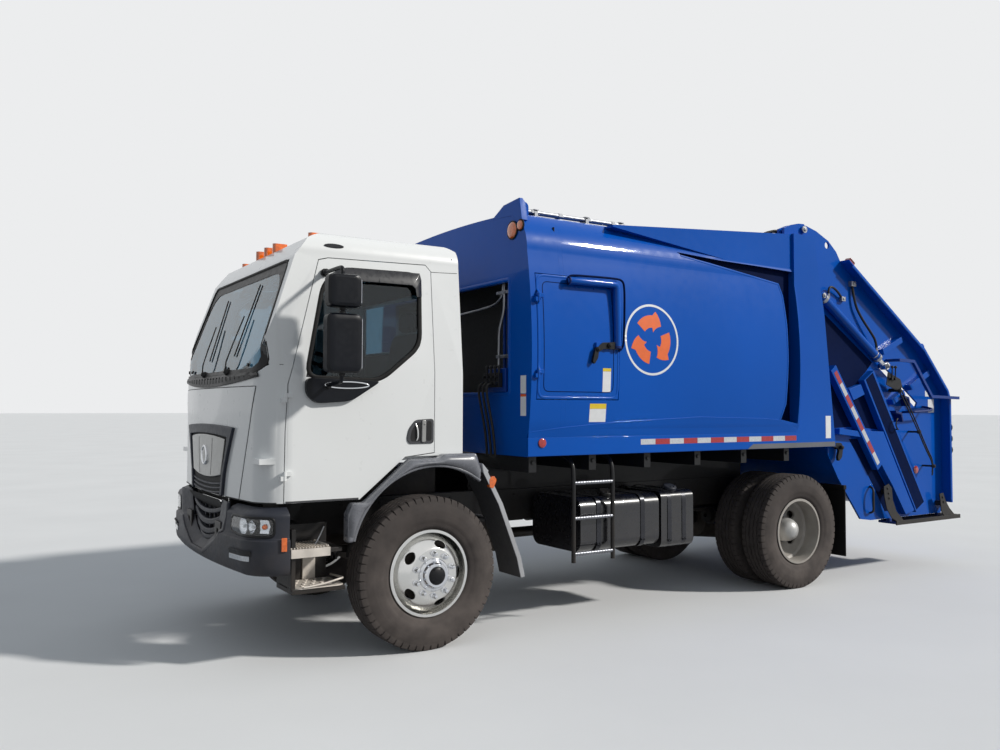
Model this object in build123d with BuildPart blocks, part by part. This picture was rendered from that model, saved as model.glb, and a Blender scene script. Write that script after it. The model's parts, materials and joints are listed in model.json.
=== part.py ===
"""Garbage truck: cab-over truck with a rear-loading compactor body.

Millimetres. X is forward, Y is to the truck's left, Z is up. The origin is on the ground under the
middle of the truck. Places along the truck are given from the front axle with at().
"""
import os
from math import cos, radians, sin

from build123d import *

os.makedirs("parts", exist_ok=True)

# Driving sizes of the chassis
overall_length = 7745
front_overhang = 1285
wheelbase = 3860
tyre_radius = 524
tyre_width = 276
rim_radius = 285.75
rim_lip = 299
front_tyre_y = 1046
rear_outer_y = 1046
rear_spacing = 330
rail_top = 985
rail_height = 255
rail_flange = 80
rail_wall = 9
rail_outside_y = 430
kingpin_y = 930
kingpin_radius = 19
spindle_radius = 34

# Driving sizes of the cab
cab_half_width = 1060
cab_roof = 2860
cab_rear = -312
cab_front = 1210
cab_bottom = 1045
cab_wall = 42
cab_floor_top = 1330
door_gap = 6
glass_thickness = 6
seat_gap = 0.3
tilt_x = 900
tilt_z = 1200

# Driving sizes of the body
body_front = -760
body_rear = -3780
body_sill = 1300
body_wall = 20
body_floor_top = 1335
post_top = 3275

# Driving sizes of the tailgate
hinge_x = -3960
hinge_z = 3345
hinge_pin = 26
hinge_lobe = 62
gate_inside_y = 1100
gate_plate = 20
gate_outside_y = 1225
hopper_x = -5250
hopper_z = 1700
hopper_radius = 1000
packer_angle = 33
packer_stroke = 700
blade_half = 1020

front_axle_x = overall_length / 2 - front_overhang
hub_z = tyre_radius


def at(distance):
    """Place along the truck, measured forward from the front axle."""
    return front_axle_x + distance


def side_solid(points, low, high):
    """Solid of a straight-sided outline in X and Z, between two values of Y."""
    with BuildPart(mode=Mode.PRIVATE) as solid:
        with BuildSketch(Plane.XZ.offset(-low)):
            with BuildLine():
                Polyline(*[(at(x), z) for x, z in points], close=True)
            make_face()
        extrude(amount=low - high)
    return solid.part


def block(x_low, x_high, y_low, y_high, z_low, z_high):
    """Box between named limits, X from the front axle."""
    with BuildPart(mode=Mode.PRIVATE) as solid:
        with BuildSketch(Plane.XY.offset(z_low)):
            with Locations((at((x_low + x_high) / 2), (y_low + y_high) / 2)):
                Rectangle(x_high - x_low, y_high - y_low)
        extrude(amount=z_high - z_low)
    return solid.part


def across(x, z, radius, low, high):
    """Round bar across the truck."""
    with BuildPart(mode=Mode.PRIVATE) as solid:
        with BuildSketch(Plane.XZ.offset(-low)):
            with Locations((at(x), z)):
                Circle(radius)
        extrude(amount=low - high)
    return solid.part


def along(x_low, x_high, y, z, radius):
    """Round bar along the truck."""
    with BuildPart(mode=Mode.PRIVATE) as solid:
        with BuildSketch(Plane.YZ.offset(at(x_low))):
            with Locations((y, z)):
                Circle(radius)
        extrude(amount=x_high - x_low)
    return solid.part


def upright(x, y, radius, z_low, z_high):
    """Round bar standing up."""
    with BuildPart(mode=Mode.PRIVATE) as solid:
        with BuildSketch(Plane.XY.offset(z_low)):
            with Locations((at(x), y)):
                Circle(radius)
        extrude(amount=z_high - z_low)
    return solid.part


# Ladder frame: two channel rails, crossmembers and the stands of the cab's tilt axis
crossmember_places = (820, 475, -1225, -1900, -2600, -3250, -wheelbase - 520)
stand_y = 360
stand_thickness = 30
rail_front = 935
rail_rear = -wheelbase - 560
with BuildPart() as frame_rails:
    with BuildSketch(Plane.YZ.offset(at(rail_rear))):
        with Locations((rail_outside_y - rail_flange / 2, rail_top - rail_height / 2)):
            Rectangle(rail_flange, rail_height)
        with Locations((rail_outside_y - rail_flange / 2 - rail_wall, rail_top - rail_height / 2)):
            Rectangle(rail_flange, rail_height - 2 * rail_wall, mode=Mode.SUBTRACT)
    extrude(amount=rail_front - rail_rear)
    add(block(tilt_x - 60, tilt_x + 35, stand_y, stand_y + stand_thickness, rail_top - 60, tilt_z + 45))
    add(across(tilt_x, tilt_z, 20, stand_y + stand_thickness, stand_y + stand_thickness + 60))
    mirror(about=Plane.XZ)
    for place in crossmember_places:
        add(block(place - 35, place + 35, rail_wall - rail_outside_y, rail_outside_y - rail_wall,
                  rail_top - rail_height + 40, rail_top - 40))
frame_rails.part.label = "frame_rails"
export_step(frame_rails.part, "parts/frame_rails.step")

# Leaf springs: four tapered packs under the rails, each with its two hangers
spring_packs = (
    # place, half length, spring top, leaves, half width
    (0, 560, 640, 3, 38),
    (-wheelbase, 700, 700, 5, 40),
)
spring_y = 395
leaf_thickness = 16
with BuildPart() as leaf_springs:
    for place, half, top, leaves, half_width in spring_packs:
        for leaf in range(leaves):
            reach = half * (1 - 0.16 * leaf)
            leaf_top = top - leaf * leaf_thickness
            add(block(place - reach, place + reach, spring_y - half_width, spring_y + half_width,
                      leaf_top - leaf_thickness, leaf_top))
        for end in (-1, 1):
            add(block(place + end * half - 30, place + end * half + 30, spring_y - half_width,
                      spring_y + half_width, top, rail_top - rail_height))
    mirror(about=Plane.XZ)
leaf_springs.part.label = "leaf_springs"
export_step(leaf_springs.part, "parts/leaf_springs.step")

# Front axle: dropped beam with a boss at each kingpin and a seat under each spring
beam_z = 480
boss_radius = 45
with BuildPart() as front_axle:
    spring_bottom = spring_packs[0][2] - spring_packs[0][3] * leaf_thickness
    add(block(-45, 45, -640, 640, beam_z - 55, beam_z + 55))
    for side in (-1, 1):
        low, high = sorted((side * 600, side * kingpin_y))
        add(block(-boss_radius, boss_radius, low, high, beam_z, beam_z + 110))
        add(upright(0, side * kingpin_y, boss_radius, beam_z, beam_z + 110))
        low, high = sorted((side * (spring_y - 45), side * (spring_y + 45)))
        add(block(-90, 90, low, high, beam_z + 55, spring_bottom))
    with BuildSketch(Plane.XY.offset(beam_z - 75)):
        with Locations((at(0), kingpin_y), (at(0), -kingpin_y)):
            Circle(kingpin_radius)
    extrude(amount=260)
front_axle.part.label = "front_axle"
export_step(front_axle.part, "parts/front_axle.step")

# Steering knuckles: a fork round the beam's end, a spindle and a steering arm
pin_clear = 1
fork_clear = 6
for side, name in ((1, "left"), (-1, "right")):
    web_low, web_high = sorted((side * (kingpin_y + boss_radius + fork_clear), side * (kingpin_y + 70)))
    fork_low, fork_high = sorted((side * (kingpin_y - 42), side * (kingpin_y + 70)))
    with BuildPart() as knuckle:
        add(block(-42, 42, web_low, web_high, beam_z - 70, beam_z + 190))
        add(block(-42, 42, fork_low, fork_high, beam_z - 70, beam_z - fork_clear))
        add(block(-42, 42, fork_low, fork_high, beam_z + 110 + fork_clear, beam_z + 190))
        add(block(-230, 0, web_low, web_high, beam_z - 70, beam_z - 40))
        spindle_low, spindle_high = sorted((side * (kingpin_y + 68), side * (front_tyre_y + 85)))
        add(across(0, hub_z, spindle_radius, spindle_low, spindle_high))
        with BuildSketch(Plane.XY.offset(beam_z - 80)):
            with Locations((at(0), side * kingpin_y)):
                Circle(kingpin_radius + pin_clear)
        extrude(amount=300, mode=Mode.SUBTRACT)
    knuckle.part.label = f"knuckle_{name}"
    export_step(knuckle.part, f"parts/knuckle_{name}.step")

# Rear axle: housing with a round middle and two spindles
with BuildPart() as rear_axle:
    rear_spring_bottom = spring_packs[1][2] - spring_packs[1][3] * leaf_thickness
    add(block(-wheelbase - 65, -wheelbase + 65, -640, 640, hub_z - 65, hub_z + 65))
    with BuildSketch(Plane.YZ.offset(at(-wheelbase - 130))):
        with Locations((0, hub_z)):
            Circle(210)
    extrude(amount=330, taper=6)
    for side in (-1, 1):
        low, high = sorted((side * 630, side * (rear_outer_y + 60)))
        add(across(-wheelbase, hub_z, 48, low, high))
        low, high = sorted((side * (spring_y - 50), side * (spring_y + 50)))
        add(block(-wheelbase - 110, -wheelbase + 110, low, high, hub_z + 60, rear_spring_bottom))
rear_axle.part.label = "rear_axle"
export_step(rear_axle.part, "parts/rear_axle.step")

# Driveshaft from the gearbox to the rear axle's nose
engine_rear = -1150
with BuildPart() as driveshaft:
    add(along(-wheelbase + 200 + seat_gap, engine_rear - seat_gap, 0, hub_z + 30, 45))
    add(along(-wheelbase + 200 + seat_gap, -wheelbase + 300, 0, hub_z + 30, 70))
    add(along(engine_rear - 100, engine_rear - seat_gap, 0, hub_z + 30, 70))
driveshaft.part.label = "driveshaft"
export_step(driveshaft.part, "parts/driveshaft.step")

# Engine and gearbox as one plain block, on feet that reach the rails
with BuildPart() as engine_block:
    add(block(-520, 420, -270, 270, 600, 1190))
    add(block(engine_rear, -520, -190, 190, 440, 880))
    for side in (-1, 1):
        low, high = sorted((side * 260, side * (rail_outside_y - rail_flange - seat_gap)))
        for foot in (-460, 200):
            add(block(foot, foot + 90, low, high, rail_top - 120, rail_top - 60))
engine_block.part.label = "engine_block"
export_step(engine_block.part, "parts/engine_block.step")

# Radiator behind the grille, with its top tank and side frame
with BuildPart() as radiator:
    add(block(600, 700, -340, 340, 520, 1110))
    add(block(585, 715, -345, 345, 1050, 1120))
    add(block(585, 715, -345, 345, 500, 560))
    add(block(620, 680, -400, 400, rail_top + seat_gap, rail_top + 30))
radiator.part.label = "radiator"
export_step(radiator.part, "parts/radiator.step")


# Sections of the wheels, across and outward from a rim's middle
tyre_bead = 86
tyre_tread = 106
tyre_shoulder = 24
rim_half = 105
rim_wall = 9
disc_face = 165
disc_thickness = 12
disc_bore = 70
hand_hole_circle = 205
hand_holes = 5
hub_radius = 76
drum_radius = 205
drum_depth = 110


def tyre_solid(place, centre_y):
    """Tyre as a revolved section: bead, bulged walls, round shoulders and a flat tread."""
    inner = rim_radius + 1
    wall_r = (inner + tyre_radius) / 2 - 10
    edge = tyre_tread + 14
    with BuildPart(mode=Mode.PRIVATE) as solid:
        with BuildSketch(Plane.YZ):
            with BuildLine():
                Line((centre_y - tyre_bead, inner), (centre_y + tyre_bead, inner))
                for sign in (1, -1):
                    ThreePointArc((centre_y + sign * tyre_bead, inner),
                                  (centre_y + sign * tyre_width / 2, wall_r),
                                  (centre_y + sign * edge, tyre_radius - tyre_shoulder))
                    ThreePointArc((centre_y + sign * edge, tyre_radius - tyre_shoulder),
                                  (centre_y + sign * (tyre_tread + 8), tyre_radius - 8),
                                  (centre_y + sign * (tyre_tread - 8), tyre_radius))
                Line((centre_y + tyre_tread - 8, tyre_radius), (centre_y - tyre_tread + 8, tyre_radius))
            make_face()
        revolve(axis=Axis.Y)
    return solid.part.moved(Location((at(place), 0, hub_z)))


def rim_solid(place, centre_y, way):
    """Rim: barrel with two lips, and a dished disc whose flat face stands on the side given by way."""
    lip = rim_half + rim_wall
    inner = rim_radius - rim_wall
    dish = ((48, inner + 2), (76, 250), (disc_face - 16, 184), (disc_face, 172), (disc_face, disc_bore),
            (disc_face - disc_thickness, disc_bore), (disc_face - disc_thickness, 166),
            (disc_face - 30, 176), (62, 240), (34, inner + 2))
    with BuildPart(mode=Mode.PRIVATE) as solid:
        with BuildSketch(Plane.YZ):
            with BuildLine():
                Polyline(*[(centre_y + y, z) for y, z in (
                    (-lip, inner), (lip, inner), (lip, rim_lip), (rim_half, rim_lip),
                    (rim_half, rim_radius), (-rim_half, rim_radius), (-rim_half, rim_lip),
                    (-lip, rim_lip))], close=True)
            make_face()
        revolve(axis=Axis.Y)
        with BuildSketch(Plane.YZ):
            with BuildLine():
                Polyline(*[(centre_y + way * y, z) for y, z in dish], close=True)
            make_face()
        revolve(axis=Axis.Y)
        with BuildSketch(Plane.XZ.offset(-centre_y)):
            with PolarLocations(hand_hole_circle, hand_holes):
                SlotOverall(96, 52, rotation=90)
        extrude(amount=-way * disc_face * 2, mode=Mode.SUBTRACT)
    return solid.part.moved(Location((at(place), 0, hub_z)))


def hub_solid(place, side, inner, face, nose, bore, bore_end):
    """Hub and drum: body up to the disc's face, a nose through the disc and a blind bore from inside."""
    with BuildPart(mode=Mode.PRIVATE) as solid:
        with BuildSketch(Plane.YZ):
            with BuildLine():
                Polyline(*[(side * y, z) for y, z in (
                    (inner, bore), (bore_end, bore), (bore_end, 0), (nose, 0), (nose, 52),
                    (nose - 20, disc_bore), (face, disc_bore), (face, 150), (face - 22, 150),
                    (face - 22, hub_radius), (inner + drum_depth, hub_radius),
                    (inner + drum_depth, drum_radius), (inner, drum_radius))], close=True)
            make_face()
        revolve(axis=Axis.Y)
    return solid.part.moved(Location((at(place), 0, hub_z)))


# Front wheels, one each side, on the knuckles' spindles
for side, name in ((1, "left"), (-1, "right")):
    with BuildPart() as tyre:
        add(tyre_solid(0, side * front_tyre_y))
    tyre.part.label = f"tyre_front_{name}"
    export_step(tyre.part, f"parts/tyre_front_{name}.step")
    front_face = front_tyre_y + disc_face - disc_thickness
    with BuildPart() as rim:
        add(rim_solid(0, side * front_tyre_y, side))
        add(hub_solid(0, side, kingpin_y + 78, front_face, front_face + 75, spindle_radius + pin_clear,
                      front_tyre_y + 93))
    rim.part.label = f"rim_front_{name}"
    export_step(rim.part, f"parts/rim_front_{name}.step")

# Rear wheels: each side has two tyres on two rims that share one hub
for side, name in ((1, "left"), (-1, "right")):
    outer = rear_outer_y
    inner = rear_outer_y - rear_spacing
    with BuildPart() as tyres:
        add(tyre_solid(-wheelbase, side * outer))
        add(tyre_solid(-wheelbase, side * inner))
    tyres.part.label = f"tyres_rear_{name}"
    export_step(tyres.part, f"parts/tyres_rear_{name}.step")
    rear_face = inner + disc_face - disc_thickness
    with BuildPart() as rims:
        add(rim_solid(-wheelbase, side * outer, -side))
        add(rim_solid(-wheelbase, side * inner, side))
        add(hub_solid(-wheelbase, side, inner - 10, rear_face, rear_outer_y + 75, 49, rear_outer_y + 68))
    rims.part.label = f"rims_rear_{name}"
    export_step(rims.part, f"parts/rims_rear_{name}.step")

# Tanks on the left: fuel tank with two straps, small tank, and the ladder in front of them
tank_bottom = 535
tank_top = 960
tank_out = 1120
tank_in = rail_outside_y + 40
with BuildPart() as fuel_tank:
    add(block(-2150, -1335, tank_in, tank_out, tank_bottom, tank_top))
    fillet(fuel_tank.edges().filter_by(Axis.X), radius=90)
    for strap in (-1620, -1880):
        add(block(strap - 35, strap + 35, rail_outside_y + seat_gap, tank_in + 20, 700, 940))
fuel_tank.part.label = "fuel_tank"
export_step(fuel_tank.part, "parts/fuel_tank.step")

with BuildPart() as small_tank:
    add(block(-2540, -2175, tank_in + 150, tank_out, tank_bottom - 30, tank_top + 10))
    fillet(small_tank.edges().filter_by(Axis.X), radius=60)
    add(block(-2400, -2330, rail_outside_y + seat_gap, tank_in + 200, 760, 900))
small_tank.part.label = "small_tank"
export_step(small_tank.part, "parts/small_tank.step")

ladder_front = -1210
ladder_rear = -1640
ladder_y = 1165
rung_heights = (545, 815, 1085)
with BuildPart() as tank_ladder:
    for rail in (ladder_front, ladder_rear):
        add(block(rail - 20, rail + 20, ladder_y - 20, ladder_y + 20, 515, 1240))
        add(block(rail - 20, rail + 20, rail_outside_y + 5, ladder_y, 1200, 1240))
    for rung in rung_heights:
        add(block(ladder_rear, ladder_front, ladder_y - 20, ladder_y + 20, rung - 18, rung + 18))
    add(block(ladder_rear, ladder_front, rail_outside_y + seat_gap, tank_in - 5, 945, 985))
    for rail in (ladder_front, ladder_rear):
        add(block(rail - 20, rail + 20, rail_outside_y + 5, tank_in - 5, 945, 1240))
tank_ladder.part.label = "tank_ladder"
export_step(tank_ladder.part, "parts/tank_ladder.step")

# Right side: battery box, air tanks and silencer
with BuildPart() as battery_box:
    add(block(-1980, -1380, -1120, -620, 560, 940))
    fillet(battery_box.edges().filter_by(Axis.X), radius=20)
    add(block(-1760, -1600, -620, -rail_outside_y - seat_gap, 760, 900))
battery_box.part.label = "battery_box"
export_step(battery_box.part, "parts/battery_box.step")

with BuildPart() as air_tanks:
    for tank_y in (-560, -860):
        add(along(-2920, -2180, tank_y, 640, 125))
        add(along(-2945, -2155, tank_y, 640, 100))
        add(along(-2960, -2140, tank_y, 640, 60))
    for band in (-2300, -2800):
        add(block(band - 20, band + 20, -980, -rail_outside_y - seat_gap, 765, 805))
        add(block(band - 20, band + 20, -880, -840, 740, 780))
        add(block(band - 20, band + 20, -580, -540, 740, 780))
air_tanks.part.label = "air_tanks"
export_step(air_tanks.part, "parts/air_tanks.step")

with BuildPart() as muffler:
    add(along(-1330, -800, -760, 700, 150))
    add(block(-1140, -980, -640, -rail_outside_y - seat_gap, 760, 840))
muffler.part.label = "muffler"
export_step(muffler.part, "parts/muffler.step")


def plan_outline(front, half, corner, rear):
    """Plan of the cab or bumper: a slightly bowed front with round corners, square at the rear."""
    bow = 55
    edge = front - bow
    with BuildLine() as line:
        Line((at(rear), -half), (at(edge - corner), -half))
        ThreePointArc((at(edge - corner), -half),
                      (at(edge - corner * 0.30), -half + corner * 0.30), (at(edge), -half + corner))
        ThreePointArc((at(edge), -half + corner), (at(front), 0), (at(edge), half - corner))
        ThreePointArc((at(edge), half - corner),
                      (at(edge - corner * 0.30), half - corner * 0.30), (at(edge - corner), half))
        Line((at(edge - corner), half), (at(rear), half))
        Line((at(rear), half), (at(rear), -half))
    return line.line.edges()


def cab_form(inset):
    """Closed form of the cab: its side view, plan and front view in common, all drawn in by inset."""
    low = cab_bottom - 60
    roof = cab_roof - inset
    half = cab_half_width - inset
    rear = cab_rear + inset
    with BuildPart(mode=Mode.PRIVATE) as form:
        with BuildSketch(Plane.XZ):
            with BuildLine():
                Polyline((at(rear), roof - 60), (at(rear), low), (at(cab_front - inset - 4), low),
                         (at(cab_front - inset), 1500), (at(cab_front - inset - 12), 1850),
                         (at(920 - inset), 2660), (at(820 - inset), roof - 70))
                ThreePointArc((at(820 - inset), roof - 70), (at(690 - inset), roof - 14),
                              (at(480 - inset), roof))
                Polyline((at(480 - inset), roof), (at(rear + 80), roof), (at(rear), roof - 60))
            make_face()
        extrude(amount=cab_half_width * 2, both=True)
        with BuildSketch(Plane.XY.offset(low)):
            make_face(plan_outline(cab_front - inset, half, 215, rear))
        extrude(amount=roof, mode=Mode.INTERSECT)
        with BuildSketch(Plane.YZ.offset(at(rear))):
            with BuildLine():
                Polyline((-half, low), (half, low), (half, 1900), (half - 75, 2680))
                ThreePointArc((half - 75, 2680), (half - 130, roof - 50), (half - 250, roof - 12))
                ThreePointArc((half - 250, roof - 12), (0, roof), (250 - half, roof - 12))
                ThreePointArc((250 - half, roof - 12), (130 - half, roof - 50), (75 - half, 2680))
                Polyline((75 - half, 2680), (-half, 1900), (-half, low))
            make_face()
        extrude(amount=3000, mode=Mode.INTERSECT)
    return form.part


cab_outer = cab_form(0)
cab_inner = cab_form(cab_wall)
pane_outer = cab_form(8)
pane_inner = cab_form(8 + glass_thickness)
door_outline = ((994, cab_bottom), (990, 1500), (976, 1808), (756, 2637), (690, 2655), (-40, 2672),
                (-80, 2630), (-80, 1345), (145, 1320), (481, cab_bottom))
window_outline = ((861, 1855), (730, 2480), (600, 2590), (10, 2600), (25, 2090), (339, 1840))


def moved_in(points, distance):
    """The outline drawn in by a distance, or out by a negative one."""
    with BuildSketch(mode=Mode.PRIVATE) as shape:
        with BuildLine():
            Polyline(*points, close=True)
        make_face()
        offset(amount=-distance, kind=Kind.INTERSECTION)
    return shape.sketch


def door_prism(points, distance, side):
    """Prism through one side of the cab, from an outline drawn in by a distance."""
    outline = moved_in([(at(x), z) for x, z in points], distance)
    with BuildPart(mode=Mode.PRIVATE) as solid:
        with BuildSketch(Plane.XZ.offset(-side * 700)):
            add(outline)
        extrude(amount=-side * 500)
    return solid.part


wheel_gap = block(-600, 145, -1200, 1200, 900, 1322) + side_solid(
    ((481, cab_bottom), (145, 1322), (145, 900), (481, 900)), -1200, 1200)
screen_outline = ((-905, 2640), (905, 2640), (1000, 1930), (900, 1875), (-900, 1875), (-1000, 1930))
rear_window = ((-640, 2120), (640, 2120), (640, 2520), (-640, 2520))


def facing(points, distance, low, high):
    """Prism along the truck from an outline in Y and Z, drawn in by a distance."""
    outline = moved_in(points, distance)
    with BuildPart(mode=Mode.PRIVATE) as solid:
        with BuildSketch(Plane.YZ.offset(at(low))):
            add(outline)
        extrude(amount=high - low)
    return solid.part


# Hinges of the three side doors: a fixed lug with its pin, and a knuckle of the door above it
hinge_wire = 6
hinge_barrel = 12
hinge_rise = 30
bore_gap = 0.4
door_pin = (998, 1068)
door_hinge_heights = (1190, 1690)


def fixed_hinge(pin_x, pin_y, low):
    """Lug that stands out from the fixed skin ahead of the pin, with the pin on it."""
    with BuildPart(mode=Mode.PRIVATE) as solid:
        add(block(pin_x + 6, pin_x + 27, pin_y - 42, pin_y, low, low + hinge_rise))
        add(block(pin_x, pin_x + 27, pin_y - 8, pin_y + 7, low, low + hinge_rise))
        add(upright(pin_x, pin_y, hinge_barrel, low, low + hinge_rise))
        add(upright(pin_x, pin_y, hinge_wire, low, low + 2 * hinge_rise))
    return solid.part


def door_knuckle(pin_x, pin_y, low):
    """Leaf on the door behind the pin, with the barrel that turns on it."""
    foot = low + hinge_rise + seat_gap
    top = low + 2 * hinge_rise
    with BuildPart(mode=Mode.PRIVATE) as solid:
        add(block(pin_x - 45, pin_x - 20, pin_y - 42, pin_y + 7, foot, top))
        add(block(pin_x - 20, pin_x, pin_y - 8, pin_y + 7, foot, top))
        add(upright(pin_x, pin_y, hinge_barrel, foot, top))
        add(upright(pin_x, pin_y, hinge_wire + bore_gap, foot - 1, top + 1), mode=Mode.SUBTRACT)
    return solid.part


def on_side(solid, side):
    """The solid itself for the left, its mirror image for the right."""
    return solid if side > 0 else solid.mirror(Plane.XZ)


cab_low_trim = block(-600, 1600, -1200, 1200, 800, cab_bottom)
grille_opening = block(1000, 1400, -600, 600, 1100, 1500)
with BuildPart() as cab_shell:
    add(cab_outer)
    add(cab_inner, mode=Mode.SUBTRACT)
    add(cab_low_trim, mode=Mode.SUBTRACT)
    add(wheel_gap, mode=Mode.SUBTRACT)
    add(block(cab_rear + 10, 1150, -1030, 1030, cab_floor_top - 35, cab_floor_top))
    add(block(cab_rear + 10, 420, -330, 330, cab_floor_top - 35, cab_floor_top + 190))
    add(block(cab_rear + 20, 385, -295, 295, cab_floor_top - 60, cab_floor_top + 155), mode=Mode.SUBTRACT)
    for side in (1, -1):
        add(door_prism(door_outline, -door_gap, side), mode=Mode.SUBTRACT)
        for hinge_low in door_hinge_heights:
            add(on_side(fixed_hinge(door_pin[0], door_pin[1], hinge_low), side))
    add(facing(screen_outline, 0, 600, 1500), mode=Mode.SUBTRACT)
    add(facing(rear_window, 0, cab_rear - 100, cab_rear + 100), mode=Mode.SUBTRACT)
    add(grille_opening, mode=Mode.SUBTRACT)
    for side in (-1, 1):
        low, high = sorted((side * (stand_y + 36), side * (stand_y + 76)))
        add(block(tilt_x - 45, tilt_x + 45, low, high, tilt_z - 45, cab_floor_top - 10))
        add(across(tilt_x, tilt_z, 21, low - 5, high + 5), mode=Mode.SUBTRACT)
cab_shell.part.label = "cab_shell"
export_step(cab_shell.part, "parts/cab_shell.step")

pane_form = pane_outer - pane_inner
with BuildPart() as cab_glass:
    add(pane_form)
    add(facing(screen_outline, seat_gap, 600, 1500) + facing(
        rear_window, seat_gap, cab_rear - 100, cab_rear + 100), mode=Mode.INTERSECT)
cab_glass.part.label = "cab_glass"
export_step(cab_glass.part, "parts/cab_glass.step")

# Doors: the shell's own skin inside each door's outline, with its pane and its mirrors
door_skin = cab_outer - cab_inner
for side, name in ((1, "left"), (-1, "right")):
    with BuildPart() as door:
        add(door_skin)
        add(door_prism(door_outline, 0, side), mode=Mode.INTERSECT)
        add(door_prism(window_outline, 0, side), mode=Mode.SUBTRACT)
        for hinge_low in door_hinge_heights:
            add(on_side(door_knuckle(door_pin[0], door_pin[1], hinge_low), side))
    door.part.label = f"door_{name}"
    export_step(door.part, f"parts/door_{name}.step")
    with BuildPart() as pane:
        add(pane_form)
        add(door_prism(window_outline, seat_gap, side), mode=Mode.INTERSECT)
    pane.part.label = f"door_glass_{name}"
    export_step(pane.part, f"parts/door_glass_{name}.step")
    with BuildPart() as mirror_set:
        add(block(600, 848, 1290, 1400, 1875, 2250))
        add(block(610, 840, 1300, 1390, 2290, 2500))
        fillet(mirror_set.edges(), radius=30)
        add(block(700, 730, 1330, 1360, 1800, 2560))
        add(block(700, 730, cab_half_width - 10, 1360, 1800, 1830))
        add(block(700, 730, 960, 1360, 2530, 2560))
        add(block(560, 860, cab_half_width - 10, cab_half_width + 30, 1730, 1830))
        add(cab_form(-seat_gap), mode=Mode.SUBTRACT)
        if side < 0:
            mirror(about=Plane.XZ, mode=Mode.REPLACE)
    mirror_set.part.label = f"mirrors_{name}"
    export_step(mirror_set.part, f"parts/mirrors_{name}.step")

# Front panel with its grille bars in the cab's front opening
with BuildPart() as front_panel:
    add(cab_form(14))
    add(cab_form(40), mode=Mode.SUBTRACT)
    add(block(1000, 1400, -600 + seat_gap, 600 - seat_gap, 1100 + seat_gap, 1500 - seat_gap),
        mode=Mode.INTERSECT)
    for bar in range(3):
        add(block(1000, 1400, -500, 500, 1150 + bar * 90, 1200 + bar * 90), mode=Mode.SUBTRACT)
front_panel.part.label = "front_panel"
export_step(front_panel.part, "parts/front_panel.step")

# Arches over the front wheels, hung from the cab's lower edge
arch_outside = 1150
arch_centre = (-45, 640)
arch_radius = 610


def arch_point(degrees):
    """Point of the round opening over a front wheel."""
    return (at(arch_centre[0]) + arch_radius * cos(radians(degrees)),
            arch_centre[1] + arch_radius * sin(radians(degrees)))


with BuildPart() as fender_arches:
    with BuildSketch(Plane.XZ.offset(-cab_half_width - seat_gap)):
        with BuildLine():
            Polyline(arch_point(12.7), (at(598), 775), (at(598), 960), (at(560), 1030), (at(470), 1030),
                     (at(140), 1304), (at(-90), 1310), (at(-120), 1335), (at(-380), 1335),
                     (at(-420), 1215), arch_point(127))
            ThreePointArc(arch_point(127), arch_point(70), arch_point(12.7))
        make_face()
    extrude(amount=-(arch_outside - cab_half_width))
    mirror(about=Plane.XZ)
fender_arches.part.label = "fender_arches"
export_step(fender_arches.part, "parts/fender_arches.step")

# Seats, dashboard and steering wheel, seen through the glass
with BuildPart() as seats:
    for seat_y in (560, -560):
        add(block(-60, 430, seat_y - 240, seat_y + 240, 1640, 1760))
        add(block(-190, -60, seat_y - 240, seat_y + 240, 1680, 2380))
        add(block(40, 340, seat_y - 150, seat_y + 150, cab_floor_top + seat_gap, 1640))
seats.part.label = "seats"
export_step(seats.part, "parts/seats.step")

with BuildPart() as dashboard:
    add(side_solid(((1090, 1560), (1090, 1830), (1000, 1860), (820, 1840), (760, 1700), (860, 1560)),
                   -930, 930))
    add(cab_inner, mode=Mode.INTERSECT)
    add(block(1050, 1080, -300, 300, cab_floor_top + seat_gap, 1565))
dashboard.part.label = "dashboard"
export_step(dashboard.part, "parts/dashboard.step")

wheel_lean = 25
column_length = 683.5
wheel_centre = (520, 560, 1960)
with BuildPart() as steering_wheel:
    tilted = Plane(origin=(at(wheel_centre[0]), wheel_centre[1], wheel_centre[2]),
                   z_dir=(-sin(radians(wheel_lean)), 0, cos(radians(wheel_lean))))
    with BuildSketch(tilted):
        Circle(215)
        Circle(190, mode=Mode.SUBTRACT)
        Circle(45)
        Rectangle(30, 400)
    extrude(amount=22)
    with BuildSketch(tilted):
        Circle(24)
    extrude(amount=-column_length)
steering_wheel.part.label = "steering_wheel"
export_step(steering_wheel.part, "parts/steering_wheel.step")

with BuildPart() as roof_lamps:
    for lamp_y in (-780, -200, 0, 200, 780):
        with BuildSketch(Plane.XY.offset(2760)):
            with Locations((at(760 if abs(lamp_y) < 500 else 700), lamp_y)):
                SlotOverall(110, 50)
        extrude(amount=105 if abs(lamp_y) < 500 else 95)
    add(cab_form(-seat_gap), mode=Mode.SUBTRACT)
roof_lamps.part.label = "roof_lamps"
export_step(roof_lamps.part, "parts/roof_lamps.step")

# Bumper: a deep shell that wraps the cab's lower corners, open inside for the tilting cab
bumper_rear = 968
bumper_low = 590
bumper_high = 1015
bumper_half = 1115
bumper_wall = 26


def bumper_form(inset, low, high):
    """Plan of the bumper drawn in by inset, between two heights."""
    with BuildPart(mode=Mode.PRIVATE) as form:
        with BuildSketch(Plane.XY.offset(low)):
            make_face(plan_outline(front_overhang - inset, bumper_half - inset, 250, bumper_rear - 200))
        extrude(amount=high - low)
        add(block(bumper_rear - 250, bumper_rear, -bumper_half - 50, bumper_half + 50, low - 1, high + 1),
            mode=Mode.SUBTRACT)
    return form.part


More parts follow.
